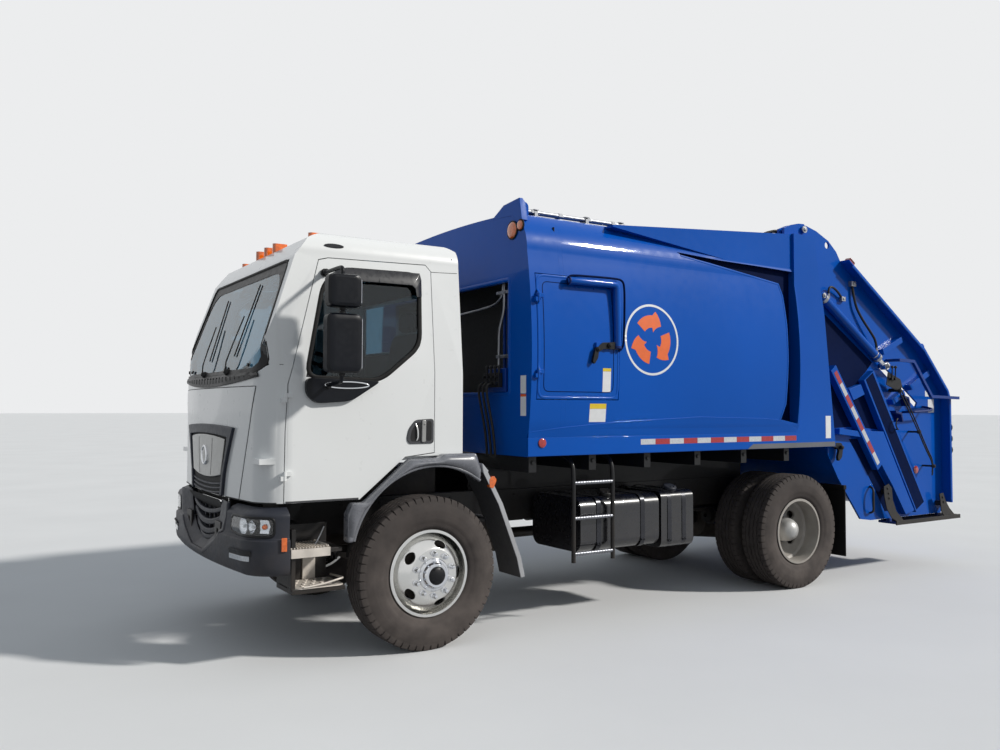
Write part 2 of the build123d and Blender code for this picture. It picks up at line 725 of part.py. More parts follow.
lamp_cuts = block(1000, 1400, 735, 1092, 850, 955) + block(1000, 1400, -1092, -735, 850, 955)
air_slots = (
    # half width, low and high of the two slots under the cab
    (520, 850, 960), (480, 690, 790),
)
slot_depth = 1225
bumper_skin = bumper_form(0, bumper_low, bumper_high) - bumper_form(bumper_wall, 0, 2000)
grille_skin = bumper_form(10, 0, 2000) - bumper_form(bumper_wall, 0, 2000)
with BuildPart() as bumper:
    add(bumper_skin)
    add(lamp_cuts, mode=Mode.SUBTRACT)
    for side in (1, -1):
        low, high = sorted((side * 380, side * rail_outside_y))
        add(block(rail_front + seat_gap, front_overhang - 30, low, high, 740, 840))
    for half, low, high in air_slots:
        middle = (low + high) / 2
        add(block(slot_depth, 1400, -half, half, low, high), mode=Mode.SUBTRACT)
        add(grille_skin & block(slot_depth - 60, 1400, -half, half, middle - 12, middle + 12))
        for post in (-300, 0, 300):
            add(grille_skin & block(slot_depth - 60, 1400, post - 10, post + 10, low, high))
bumper.part.label = "bumper"
export_step(bumper.part, "parts/bumper.step")

with BuildPart() as headlamps:
    add(bumper_form(3, 850 + seat_gap, 955 - seat_gap))
    add(bumper_form(45, 0, 2000), mode=Mode.SUBTRACT)
    add(block(1000, 1400, 735 + seat_gap, 1092 - seat_gap, 800, 1000)
        + block(1000, 1400, -1092 + seat_gap, -735 - seat_gap, 800, 1000), mode=Mode.INTERSECT)
headlamps.part.label = "headlamps"
export_step(headlamps.part, "parts/headlamps.step")

# Step wells under the doors: two treads on side plates, held by a bracket on the rail
with BuildPart() as step_wells:
    for tread_rear, tread_top in ((618, 750), (592, 500)):
        add(block(tread_rear, 955, 800, 1100, tread_top - 30, tread_top))
    add(block(925, 955, 800, 1085, 470, 880))
    add(block(618, 955, 800, 822, 470, 880))
    add(block(760, 900, rail_outside_y + seat_gap, 810, 770, 870))
    mirror(about=Plane.XZ)
step_wells.part.label = "step_wells"
export_step(step_wells.part, "parts/step_wells.step")

# Mudguards behind the front wheels, each a strip on an arm, and the flaps behind the rear wheels
with BuildPart() as front_mudguards:
    add(side_solid(((-430, 1195), (-560, 960), (-720, 560), (-755, 415), (-775, 415), (-742, 565),
                    (-585, 960), (-452, 1198)), 860, 1150))
    add(across(-620, 830, 18, rail_outside_y + seat_gap, 900))
    mirror(about=Plane.XZ)
front_mudguards.part.label = "front_mudguards"
export_step(front_mudguards.part, "parts/front_mudguards.step")

flap_gap = 122
flap_outside = 1190
flap_place = -wheelbase - tyre_radius - flap_gap
with BuildPart() as mud_flaps:
    add(block(flap_place, flap_place + 12, 560, flap_outside, 240, 890))
    add(block(flap_place - 14, flap_place + 26, rail_outside_y + seat_gap, flap_outside, 880, 920))
    add(block(flap_place - 14, flap_place + 126, rail_outside_y + seat_gap, 470, 860, 940))
    mirror(about=Plane.XZ)
mud_flaps.part.label = "mud_flaps"
export_step(mud_flaps.part, "parts/mud_flaps.step")

# Body: subframe of two longitudinals and cross bearers under the floor
subframe_in = 340
with BuildPart() as body_subframe:
    for side in (-1, 1):
        low, high = sorted((side * subframe_in, side * (subframe_in + 85)))
        add(block(body_rear - 120, body_front - 20, low, high, rail_top + seat_gap, body_sill - seat_gap))
    for bearer in range(6):
        place = body_front - 80 - bearer * 565
        add(block(place - 35, place + 35, -1180, 1180, 1180, body_sill - seat_gap))
body_subframe.part.label = "body_subframe"
export_step(body_subframe.part, "parts/body_subframe.step")


def body_form(inset, front, rear, low):
    """Load body as a section drawn in by inset: ledge, bowed side, round shoulder and arched roof."""
    lean = ((1220, 1440), (1248, 1500))
    with BuildPart(mode=Mode.PRIVATE) as form:
        with BuildSketch(Plane.YZ.offset(at(rear))):
            with BuildLine():
                for sign in (1, -1):
                    Polyline((0, low), (sign * (1220 - inset), low),
                             (sign * (lean[0][0] - inset), lean[0][1]),
                             (sign * (lean[1][0] - inset), lean[1][1]))
                    ThreePointArc((sign * (lean[1][0] - inset), lean[1][1]), (sign * (1285 - inset), 2150),
                                  (sign * (1222 - inset), 2820))
                    ThreePointArc((sign * (1222 - inset), 2820), (sign * (1165 - inset), 3020 - inset * 0.5),
                                  (sign * (1060 - inset), 3125 - inset))
                ThreePointArc((1060 - inset, 3125 - inset), (0, 3165 - inset), (inset - 1060, 3125 - inset))
            make_face()
        extrude(amount=front - rear)
    return form.part


eye_thickness = 16
eye_hole = 20
eye_place = (-860, 1020, 3190)
recess = block(body_front - 60, body_front + 10, -1000, 1000, 1780, 2620)
bay_wall = 40
post_edge = ((-4060, post_top), (-4066, 3078), (-4170, 2548), (-4312, 1340), (-4312, body_sill))
door_front = -815
door_rear = -1585
door_low = 1725
door_high = 2650
hatch_pin = (-812, 1296)
hatch_hinge_heights = (1880, 2440)
bay_rear = body_front - 320
post_front = body_rear + 40
shoulder_z = 2900
with BuildPart() as whole_body:
    add(body_form(0, body_front, body_rear + 20, body_sill))
    for side in (1, -1):
        low, high = sorted((side * 1080, side * gate_outside_y))
        add(side_solid(((post_front, body_sill), (post_front, post_top)) + post_edge, low, high))
        low, high = sorted((side * 960, side * 1200))
        add(side_solid(((-1600, 3095), (-1600, 3110), (body_rear, post_top), (body_rear, 2910),
                        (-3240, 2910)), low, high))
    add(block(-4060, post_front, -gate_outside_y, gate_outside_y, 3090, post_top))
    add(block(-4312, post_front, -gate_outside_y, gate_outside_y, body_sill, body_floor_top))
    add(body_form(body_wall, bay_rear, post_front, body_floor_top), mode=Mode.SUBTRACT)
    add(body_form(body_wall, body_front - bay_wall, bay_rear + bay_wall, 1400), mode=Mode.SUBTRACT)
    add(recess, mode=Mode.SUBTRACT)
    add(block(-4400, body_rear + 60, -1080, 1080, body_floor_top, 3090), mode=Mode.SUBTRACT)
    add(block(door_rear - door_gap, door_front + door_gap, 1100, 1400, door_low - door_gap,
              door_high + door_gap), mode=Mode.SUBTRACT)
    for hinge_low in hatch_hinge_heights:
        add(fixed_hinge(hatch_pin[0], hatch_pin[1], hinge_low))
    for side in (1, -1):
        for lug_in, lug_out in ((1068, 1093), (1127, 1152)):
            low, high = sorted((side * lug_in, side * lug_out))
            add(side_solid(((hinge_x - 62, 3265), (hinge_x - 62, hinge_z), (hinge_x - 20, 3402),
                            (hinge_x + 60, 3398), (hinge_x + 160, 3375), (-3700, 3335), (-3700, 3265)),
                           low, high))
            add(across(hinge_x, hinge_z, hinge_pin + 1, low - 1, high + 1), mode=Mode.SUBTRACT)
        low, high = sorted((side * eye_place[1], side * (eye_place[1] + eye_thickness)))
        add(block(eye_place[0] - 40, eye_place[0] + 40, low, high, 3115, eye_place[2]))
        add(across(eye_place[0], eye_place[2], 40, low, high))
        add(across(eye_place[0], eye_place[2], eye_hole, low - 1, high + 1), mode=Mode.SUBTRACT)

# The same body parted along its welds: bay, bulkhead, floor, two sides, roof and rear post
panels = (
    # x low, x high, y low, y high, z low, z high
    (bay_rear + bay_wall + seat_gap, body_front + 50, -1400, 1400, body_sill - 1, 3400),
    (bay_rear, bay_rear + bay_wall, -1400, 1400, body_sill - 1, 3400),
    (post_front, bay_rear - seat_gap, -1400, 1400, body_sill - 1, body_floor_top),
    (post_front, bay_rear - seat_gap, 600, 1400, body_floor_top + seat_gap, shoulder_z - seat_gap),
    (post_front, bay_rear - seat_gap, -1400, -600, body_floor_top + seat_gap, shoulder_z - seat_gap),
    (post_front, bay_rear - seat_gap, -1400, 1400, shoulder_z, 3500),
    (-4400, post_front - seat_gap, -1400, 1400, body_sill - 1, 3500),
)
with BuildPart() as body_shell:
    for limits in panels:
        add(whole_body.part & block(*limits))
body_shell.part.label = "body_shell"
export_step(body_shell.part, "parts/body_shell.step")

# Side access door with its bent bar and latch
body_skin = body_form(0, body_front, body_rear, body_sill) - body_form(
    body_wall, body_front + 10, body_rear - 10, body_floor_top)
with BuildPart() as access_door:
    add(body_skin)
    add(block(door_rear, door_front, 1100, 1400, door_low, door_high), mode=Mode.INTERSECT)
    for hinge_low in hatch_hinge_heights:
        add(door_knuckle(hatch_pin[0], hatch_pin[1], hinge_low))
    for foot in (door_rear + 300, door_rear + 425):
        add(block(foot, foot + 30, 1235, 1285, 2600, 2630))
    add(block(door_rear + 15, door_rear + 455, 1272, 1302, 2600, 2630))
    add(block(door_rear + 15, door_rear + 45, 1272, 1302, 2120, 2630))
    add(block(door_rear + 10, door_rear + 240, 1268, 1305, 2120, 2160))
access_door.part.label = "access_door"
export_step(access_door.part, "parts/access_door.step")

# Push plate at the front of the load space
with BuildPart() as ejector:
    add(block(-1180, -1120, -1150, 1150, body_floor_top + 5, 2700))
    for side in (-1, 1):
        low, high = sorted((side * 500, side * 560))
        add(block(-1180, -1085, low, high, body_floor_top + seat_gap, body_floor_top + 6))
        add(side_solid(((-1120, body_floor_top + 5), (-1085, body_floor_top + 5), (-1085, 1800),
                        (-1120, 2500)), low, high))
ejector.part.label = "ejector"
export_step(ejector.part, "parts/ejector.step")

# Pipes along the left edge of the roof, with their clamps and the lifting eye
with BuildPart() as roof_pipes:
    for pipe_y in (945, 980):
        add(along(-1900, -800, pipe_y, 3175, 14))
    for clamp in (-1000, -1500, -1860):
        add(block(clamp - 15, clamp + 15, 920, 1000, 3135, 3180))
roof_pipes.part.label = "roof_pipes"
export_step(roof_pipes.part, "parts/roof_pipes.step")

with BuildPart() as valve_box:
    add(block(body_front - 200, body_front + 20, 700, 960, 1780 + seat_gap, 1960))
    for hose in range(4):
        add(block(body_front - 120, body_front - 100, 740 + hose * 55, 760 + hose * 55, 1955, 2615))
valve_box.part.label = "valve_box"
export_step(valve_box.part, "parts/valve_box.step")

# Tailgate: side plates with a flanged rim, hood, curved hopper floor and sill
packer_way = (-cos(radians(packer_angle)), -sin(radians(packer_angle)))
gate_side = ((hinge_x, hinge_z - hinge_lobe), (-4078, hinge_z - hinge_lobe), (-4085, 3078), (-4190, 2548),
             (-4332, 1340), (-4340, 1215), (-4490, 985), (-4667, 771), (-4837, 566), (-5000, 545),
             (-6230, 545), (-6285, 660), (-6285, 1760), (-6240, 1860), (-5816, 2290), (-4560, 3110),
             (-4500, 3195), (-4380, 3290), (-4200, 3365), (-4050, 3400), (hinge_x, hinge_z + hinge_lobe))
gate_rim = ((-6285, 660), (-6285, 1760), (-6240, 1860), (-5816, 2290), (-4560, 3110), (-4568, 3088),
            (-5804, 2272), (-6220, 1850), (-6262, 1755), (-6262, 660))
lifting_slot = (-4362, 3244, 34)
floor_start = -24
floor_end = -135
sill_x = -6262


def hopper_floor(radius_out, radius_in, low, high):
    """Curved floor round the blade's lowest pivot, with the ramp in front and the sill behind."""
    def on(radius, degrees):
        return (at(hopper_x) + radius * cos(radians(degrees)), hopper_z + radius * sin(radians(degrees)))
    middle = (floor_start + floor_end) / 2
    with BuildPart(mode=Mode.PRIVATE) as solid:
        with BuildSketch(Plane.XZ.offset(-low)):
            with BuildLine():
                ThreePointArc(on(radius_in, floor_start), on(radius_in, middle), on(radius_in, floor_end))
                Polyline(on(radius_in, floor_end), (at(sill_x), on(radius_in, floor_end)[1]),
                         (at(sill_x), 560), (at(sill_x + gate_plate), 560),
                         (at(sill_x + gate_plate), on(radius_out, floor_end)[1]), on(radius_out, floor_end))
                ThreePointArc(on(radius_out, floor_end), on(radius_out, middle), on(radius_out, floor_start))
                Line(on(radius_out, floor_start), on(radius_in, floor_start))
            make_face()
        extrude(amount=low - high)
    return solid.part


# The packer's way: where its pivot, slots and cylinders lie
pivot = (hopper_x - packer_way[0] * packer_stroke, hopper_z - packer_way[1] * packer_stroke)
carriage_up = 500
carriage_tail = 480
cylinder_lift = 300
cylinder_y = 1165
barrel_length = 1010
barrel_radius = 42
rod_radius = 24
rod_rest = 120
barrel_start = -300
rod_eye = barrel_start - rod_rest - 20
slot_half = 32
slot_pin = 22


def on_way(distance, lift=0):
    """Point measured up the packer's way from the blade's pivot, and square off it."""
    return (pivot[0] - packer_way[0] * distance + packer_way[1] * lift,
            pivot[1] - packer_way[1] * distance - packer_way[0] * lift)


def strut(first, second, half):
    """Outline in X and Z of a straight strut between two points."""
    length = ((second[0] - first[0]) ** 2 + (second[1] - first[1]) ** 2) ** 0.5
    off_x = (second[1] - first[1]) / length * half
    off_z = (second[0] - first[0]) / length * half
    return ((first[0] + off_x, first[1] - off_z), (second[0] + off_x, second[1] - off_z),
            (second[0] - off_x, second[1] + off_z), (first[0] - off_x, first[1] + off_z))


def way_box(low_distance, high_distance, low_lift, high_lift):
    """Outline of a box laid along the packer's way."""
    return (on_way(low_distance, low_lift), on_way(high_distance, low_lift),
            on_way(high_distance, high_lift), on_way(low_distance, high_lift))


gate_braces = (
    # first end, second end, half width, outside y
    ((-4345, 2050), (-5060, 1075), 46, 1190),
    ((-4900, 1990), (-5750, 640), 95, 1190),
    ((-5160, 2232), (-5480, 2372), 30, 1180),
    ((-5620, 1878), (-5962, 2043), 30, 1180),
    ((-5307, 1726), (-5514, 1826), 30, 1180),
    ((-4440, 1440), (-4860, 1400), 28, 1180),
)
guide_rails = (
    # low and high lift of the rails that hold the carriage's arms
    (86, 110), (-90, -66),
)
rod_slot = way_box(rod_eye - packer_stroke - slot_half, rod_eye + slot_half, cylinder_lift - slot_half,
                   cylinder_lift + slot_half)
with BuildPart() as tailgate:
    for side in (-1, 1):
        low, high = sorted((side * gate_inside_y, side * (gate_inside_y + gate_plate)))
        add(side_solid(gate_side, low, high))
        add(across(hinge_x, hinge_z, hinge_lobe, low, high))
        low, high = sorted((side * 1060, side * 1165))
        add(across(hinge_x, hinge_z, hinge_pin, low, high))
    add(hopper_floor(hopper_radius + 14, hopper_radius, seat_gap - gate_inside_y, gate_inside_y - seat_gap))
    add(side_solid(((-4090, 3290), (-4560, 3110), (-5760, 2345), (-5752, 2330), (-4560, 3090),
                    (-4100, 3262)), seat_gap - gate_inside_y, gate_inside_y - seat_gap))
    for side in (-1, 1):
        low, high = sorted((side * 1090, side * (gate_outside_y + 1)))
        add(side_solid(rod_slot, low, high), mode=Mode.SUBTRACT)
        add(across(lifting_slot[0], lifting_slot[1], lifting_slot[2], low, high), mode=Mode.SUBTRACT)
tailgate.part.label = "tailgate"
export_step(tailgate.part, "parts/tailgate.step")

# Frames welded to the side plates: rim flange and braces outside, the packer's guide rails inside
frame_foot = gate_inside_y + gate_plate + seat_gap
with BuildPart() as gate_frames:
    for side in (-1, 1):
        low, high = sorted((side * frame_foot, side * gate_outside_y))
        add(side_solid(gate_rim, low, high))
        for first, second, half, outside in gate_braces:
            low, high = sorted((side * frame_foot, side * outside))
            add(side_solid(strut(first, second, half), low, high))
        low, high = sorted((side * 1062, side * (gate_inside_y - seat_gap)))
        for rail_low, rail_high in guide_rails:
            add(side_solid(way_box(-1190, 430, rail_low, rail_high), low, high))
        low, high = sorted((side * 1110, side * (gate_outside_y + 1)))
        add(side_solid(rod_slot, low, high), mode=Mode.SUBTRACT)
gate_frames.part.label = "gate_frames"
export_step(gate_frames.part, "parts/gate_frames.step")

# Packer carriage: an inclined panel between two arms that run in the guide rails
arm_low = -60
arm_high = 80
pivot_pin = 30
with BuildPart() as packer_carriage:
    add(side_solid(way_box(70, carriage_up, -10, 60), -1055, 1055))
    for side in (1, -1):
        low, high = sorted((side * 1050, side * 1088))
        add(side_solid(way_box(-carriage_tail, carriage_up, arm_low, arm_high), low, high))
        low, high = sorted((side * 1030, side * 1052))
        add(side_solid(way_box(rod_eye - 35, rod_eye + 35, arm_low, cylinder_lift + 30), low, high))
        low, high = sorted((side * 1040, side * (cylinder_y - 32 - seat_gap)))
        pin = on_way(rod_eye, cylinder_lift)
        add(across(pin[0], pin[1], slot_pin, low, high))
        low, high = sorted((side * 1020, side * 1100))
        add(across(pivot[0], pivot[1], pivot_pin + 1, low, high), mode=Mode.SUBTRACT)
packer_carriage.part.label = "packer_carriage"
export_step(packer_carriage.part, "parts/packer_carriage.step")

# Sweep blade hung from the carriage's lower end
blade_section = ((-38, 0), (38, 0), (52, -420), (40, -800), (6, -980), (-10, -980), (-24, -800), (-14, -420))
with BuildPart() as sweep_blade:
    add(side_solid([(pivot[0] + x, pivot[1] + z) for x, z in blade_section], -blade_half, blade_half))
    add(across(pivot[0], pivot[1], 50, -blade_half, blade_half))
    add(across(pivot[0], pivot[1], pivot_pin, -1085, 1085))
sweep_blade.part.label = "sweep_blade"
export_step(sweep_blade.part, "parts/sweep_blade.step")

# Packer cylinders outside the side plates: barrels on the tailgate, rods on the carriage


def cylinder_bar(start, end, y, radius):
    """Round bar along the packer's way between two distances up from the blade's pivot."""
    first = on_way(start, cylinder_lift)
    with BuildPart(mode=Mode.PRIVATE) as bar:
        way = Plane(origin=(at(first[0]), y, first[1]), z_dir=(-packer_way[0], 0, -packer_way[1]))
        with BuildSketch(way):
            Circle(radius)
        extrude(amount=end - start)
    return bar.part


with BuildPart() as packer_barrels:
    for side in (-1, 1):
        add(cylinder_bar(barrel_start, barrel_start + barrel_length, side * cylinder_y, barrel_radius))
        eye = on_way(barrel_start + barrel_length + 30, cylinder_lift)
        low, high = sorted((side * (gate_inside_y + gate_plate + seat_gap), side * (cylinder_y + 30)))
        add(across(eye[0], eye[1], 38, low, high))
        collar = on_way(barrel_start + 120, cylinder_lift)
        low, high = sorted((side * (gate_inside_y + gate_plate + seat_gap), side * cylinder_y))
        add(across(collar[0], collar[1], 30, low, high))
    for side in (-1, 1):
        add(cylinder_bar(barrel_start - 5, barrel_start + barrel_length - 60, side * cylinder_y,
                         rod_radius + 1), mode=Mode.SUBTRACT)
packer_barrels.part.label = "packer_barrels"
export_step(packer_barrels.part, "parts/packer_barrels.step")

with BuildPart() as packer_rods:
    for side in (-1, 1):
        add(cylinder_bar(barrel_start - rod_rest, barrel_start + barrel_length - 70, side * cylinder_y,
                         rod_radius))
        eye = on_way(rod_eye, cylinder_lift)
        low, high = sorted((side * (cylinder_y - 32), side * (cylinder_y + 32)))
        add(across(eye[0], eye[1], 40, low, high))
packer_rods.part.label = "packer_rods"
export_step(packer_rods.part, "parts/packer_rods.step")

# Rear steps, grab rails and tail lamps on the tailgate
with BuildPart() as rear_steps:
    add(block(-6455, -5300, 1000, 1200, 490, 515))
    add(block(-5340, -5300, 1090, 1130, 515, 545 - seat_gap))
    add(block(-6200, -6160, 1090, 1130, 515, 545 - seat_gap))
    mirror(about=Plane.XZ)
rear_steps.part.label = "rear_steps"
export_step(rear_steps.part, "parts/rear_steps.step")

rail_bar = 15
rail_y = 1270
rail_line = ((-5281, 2151), (-5524, 2144), (-5839, 1787), (-6340, 1776))
with BuildPart() as grab_rails:
    for first, second in zip(rail_line, rail_line[1:]):
        add(side_solid(strut(first, second, rail_bar), rail_y - rail_bar, rail_y + rail_bar))
    for joint_x, joint_z in rail_line[:-1]:
        add(across(joint_x, joint_z, rail_bar, rail_y - rail_bar, rail_y + rail_bar))
    for foot_x, foot_z, foot_y in ((-5281, 2151, gate_inside_y + gate_plate), (-6275, 1778, gate_outside_y)):
        add(across(foot_x, foot_z, rail_bar, foot_y + seat_gap, rail_y))
    mirror(about=Plane.XZ)
grab_rails.part.label = "grab_rails"
export_step(grab_rails.part, "parts/grab_rails.step")

lamp_seat = ((-4580.2, 3097.3), (-4650.2, 3051.6), (-4674.6, 3089), (-4604.6, 3134.7))
with BuildPart() as tail_lamps:
    add(side_solid(lamp_seat, 1150, 1210))
    mirror(about=Plane.XZ)
tail_lamps.part.label = "tail_lamps"
export_step(tail_lamps.part, "parts/tail_lamps.step")
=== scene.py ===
"""Garbage truck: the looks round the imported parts.

Metres, in the CAD's frame: X forward, Y to the truck's left, Z up. at() counts from the front axle.
"""
import json
from math import cos, pi, radians, sin, sqrt

import bmesh
import bpy
from mathutils import Matrix, Vector
from mathutils.bvhtree import BVHTree


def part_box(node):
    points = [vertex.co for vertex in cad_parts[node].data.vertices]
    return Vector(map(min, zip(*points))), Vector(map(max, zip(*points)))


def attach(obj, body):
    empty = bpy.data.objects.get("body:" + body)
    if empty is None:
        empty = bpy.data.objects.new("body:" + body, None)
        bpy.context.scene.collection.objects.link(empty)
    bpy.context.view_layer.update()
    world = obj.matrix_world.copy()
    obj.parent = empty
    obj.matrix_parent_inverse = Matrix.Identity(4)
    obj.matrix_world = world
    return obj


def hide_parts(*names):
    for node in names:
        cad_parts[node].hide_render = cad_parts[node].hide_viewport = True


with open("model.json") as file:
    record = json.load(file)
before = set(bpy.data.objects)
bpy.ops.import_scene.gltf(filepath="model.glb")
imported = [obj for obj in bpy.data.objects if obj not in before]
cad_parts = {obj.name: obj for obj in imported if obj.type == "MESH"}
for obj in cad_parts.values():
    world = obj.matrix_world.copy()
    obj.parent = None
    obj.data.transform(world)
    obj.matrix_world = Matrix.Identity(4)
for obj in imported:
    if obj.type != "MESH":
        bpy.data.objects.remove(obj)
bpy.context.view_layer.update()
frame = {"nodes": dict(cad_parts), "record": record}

scene = bpy.context.scene
nodes = frame["nodes"]
record = frame["record"]
node_body = {node: body for body, group in record["behaviour"]["bodies"].items() for node in group}
node_slot = {entry["node"]: entry["material_slot"] for entry in record["subparts"]}

# Driving sizes, as in the part's source
axle = 2.5875
wheelbase = 3.860
hub_z = 0.524
tyre_radius = 0.524
sides = (("left", 1), ("right", -1))


def both_sides(*builders):
    """Runs the builders for the left side, then for the right."""
    for name, side in sides:
        for build in builders:
            build(name, side)


def at(distance):
    """Place along the truck, measured forward from the front axle."""
    return axle + distance


def span(side, inner, outer):
    """The two Y limits of something on one side of the truck, the lower one first."""
    return sorted((side * inner, side * outer))


def placed(outline):
    """X and Z of an outline that is given by distance from the front axle and height."""
    return [(at(x), z) for x, z in outline]


def run(side, *points):
    """Points of a pipe on one side, given by distance from the front axle, width and height."""
    return [(at(x), side * y, z) for x, y, z in points]


# Camera at the photograph's place
image_width = 1000
focal_pixels = 867.0
sensor = 36.0
camera_place = Vector((at(2.829), 6.460, 1.662))
camera_yaw = radians(-122.638)
camera_pitch = radians(2.137)
camera_roll = radians(0.157)


def make_camera():
    """The camera, turned by its yaw, pitch and roll."""
    data = bpy.data.cameras.new("camera")
    data.sensor_width = sensor
    data.lens = focal_pixels / image_width * sensor
    data.clip_end = 500
    camera = bpy.data.objects.new("camera", data)
    scene.collection.objects.link(camera)
    level = cos(camera_pitch)
    ahead = Vector((level * cos(camera_yaw), level * sin(camera_yaw), sin(camera_pitch)))
    right = ahead.cross(Vector((0, 0, 1))).normalized()
    up = right.cross(ahead)
    turned_right = cos(camera_roll) * right + sin(camera_roll) * up
    turned_up = cos(camera_roll) * up - sin(camera_roll) * right
    matrix = Matrix.Identity(4)
    for column, vector in enumerate((turned_right, turned_up, -ahead, camera_place)):
        for row in range(3):
            matrix[row][column] = vector[row]
    camera.matrix_world = matrix
    scene.camera = camera


# Materials


def linear(value):
    """Linear value of an sRGB channel given from 0 to 255."""
    share = value / 255
    return share / 12.92 if share <= 0.04045 else ((share + 0.055) / 1.055) ** 2.4


def tone(red, green, blue):
    """Linear colour of an sRGB one."""
    return (linear(red), linear(green), linear(blue), 1.0)


class Nodes:
    """Short hand for building a material's node tree."""

    def __init__(self, name):
        self.material = bpy.data.materials.new(name)
        self.material.use_nodes = True
        self.tree = self.material.node_tree
        self.shader = self.tree.nodes["Principled BSDF"]
        self.place = self.add("ShaderNodeTexCoord").outputs["Object"]

    def add(self, kind, **values):
        node = self.tree.nodes.new(kind)
        for name, value in values.items():
            setattr(node, name, value)
        return node

    def join(self, source, target):
        self.tree.links.new(source, target)

    def noise(self, scale, detail=3.0, stretch=None):
        node = self.add("ShaderNodeTexNoise")
        node.inputs["Scale"].default_value = scale
        node.inputs["Detail"].default_value = detail
        source = self.place
        if stretch:
            mapping = self.add("ShaderNodeMapping")
            mapping.inputs["Scale"].default_value = stretch
            self.join(source, mapping.inputs["Vector"])
            source = mapping.outputs["Vector"]
        self.join(source, node.inputs["Vector"])
        return node.outputs["Fac"]

    def ramp(self, source, low, high, bottom=0.0, top=1.0):
        node = self.add("ShaderNodeMapRange")
        for name, value in (("From Min", low), ("From Max", high), ("To Min", bottom), ("To Max", top)):
            node.inputs[name].default_value = value
        self.join(source, node.inputs["Value"])
        return node.outputs["Result"]

    def times(self, first, second):
        node = self.add("ShaderNodeMath", operation="MULTIPLY")
        self.join(first, node.inputs[0])
        if isinstance(second, float):
            node.inputs[1].default_value = second
        else:
            self.join(second, node.inputs[1])
        return node.outputs[0]

    def mix(self, factor, first, second):
        node = self.add("ShaderNodeMix", data_type="RGBA")
        self.join(factor, node.inputs["Factor"])
        for value, name in ((first, 6), (second, 7)):
            if isinstance(value, tuple):
                node.inputs[name].default_value = value
            else:
                self.join(value, node.inputs[name])
        return node.outputs[2]

    def height(self):
        node = self.add("ShaderNodeSeparateXYZ")
        self.join(self.place, node.inputs[0])
        return node.outputs["Z"]

    def bump(self, source, strength, distance=0.001):
        node = self.add("ShaderNodeBump")
        node.inputs["Strength"].default_value = strength
        node.inputs["Distance"].default_value = distance
        self.join(source, node.inputs["Height"])
        self.join(node.outputs["Normal"], self.shader.inputs["Normal"])


def finish_of(name, base, rough, metal=0.0, coat=0.0, patch=0.10, patch_size=2.5, spread=0.06, grain=0.0,
        grain_size=300.0, dust=0.0, dust_top=1.2, dust_tone=(120, 108, 95), stretch=None, specular=0.5):
    """Solid finish: base tone with slow variation, uneven gloss, grain and road dust near the ground."""
    made = Nodes(name)
    shader = made.shader
    shader.inputs["Metallic"].default_value = metal
    shader.inputs["Coat Weight"].default_value = coat
    shader.inputs["Coat Roughness"].default_value = 0.04
    shader.inputs["Specular IOR Level"].default_value = specular
    darker = tuple(channel * (1 - patch) for channel in base[:3]) + (1.0,)
    lighter = tuple(min(1.0, channel * (1 + patch)) for channel in base[:3]) + (1.0,)
    shade = made.mix(made.ramp(made.noise(patch_size, 5.0, stretch), 0.35, 0.65), darker, lighter)
    gloss = made.ramp(made.noise(patch_size * 14, 6.0, stretch), 0.3, 0.7,
        max(0.02, rough - spread), rough + spread)
    if dust:
        low = made.ramp(made.height(), 0.25, dust_top, dust, 0.0)
        spots = made.ramp(made.noise(9.0, 8.0), 0.3, 0.7, 0.35, 1.0)
        amount = made.times(low, spots)
        shade = made.mix(amount, shade, tone(*dust_tone))
        matt = made.add("ShaderNodeMix", data_type="FLOAT")
        made.join(amount, matt.inputs["Factor"])
        made.join(gloss, matt.inputs[2])
        matt.inputs[3].default_value = 0.9
        gloss = matt.outputs[0]
    made.join(shade, shader.inputs["Base Color"])
    made.join(gloss, shader.inputs["Roughness"])
    if grain:
        made.bump(made.noise(grain_size, 2.0, stretch), grain)
    return made.material


def clear_finish(name, base, rough=0.02, weight=1.0):
    """Clear glass or lens, tinted by base, with a faint waviness."""
    made = Nodes(name)
    shader = made.shader
    shader.inputs["Transmission Weight"].default_value = weight
    shader.inputs["IOR"].default_value = 1.45
    tint = made.mix(made.ramp(made.noise(1.5), 0.3, 0.7), base, tuple(c * 0.94 for c in base[:3]) + (1.0,))
    made.join(tint, shader.inputs["Base Color"])
    made.join(made.ramp(made.noise(20.0, 4.0), 0.4, 0.8, rough, rough + 0.03), shader.inputs["Roughness"])
    return made.material


blue = finish_of("blue_paint", tone(0, 86, 186), 0.34, coat=0.22, patch=0.05, patch_size=0.9, grain=0.02,
    grain_size=90.0, dust=0.08, dust_top=1.1, specular=0.06)
white = finish_of("white_paint", tone(238, 240, 240), 0.30, coat=0.6, spread=0.03, patch=0.012,
    patch_size=1.2, grain=0.015, grain_size=90.0, dust=0.12, dust_top=1.3)
silver = finish_of("silver_panel", tone(150, 150, 148), 0.35, metal=0.4, coat=0.5, patch=0.06)
black_metal = finish_of("black_chassis_paint", tone(20, 21, 24), 0.48, patch=0.25, grain=0.05, dust=0.22,
    dust_top=1.15, coat=0.10, specular=0.25)
tank_black = finish_of("black_tank_paint", tone(14, 16, 24), 0.28, coat=0.5,
    patch=0.2, dust=0.12, dust_top=1.0)
grey_plastic = finish_of("grey_bumper_plastic", tone(40, 45, 56), 0.46, specular=0.3, patch=0.10,
    grain=0.10, grain_size=700.0, dust=0.30, dust_top=1.2)
black_plastic = finish_of("black_plastic", tone(15, 16, 19), 0.42, patch=0.15, grain=0.10,
    grain_size=800.0, specular=0.25)
rubber = finish_of("black_rubber", tone(12, 12, 13), 0.62, patch=0.2, grain=0.06,
    grain_size=500.0, specular=0.2)
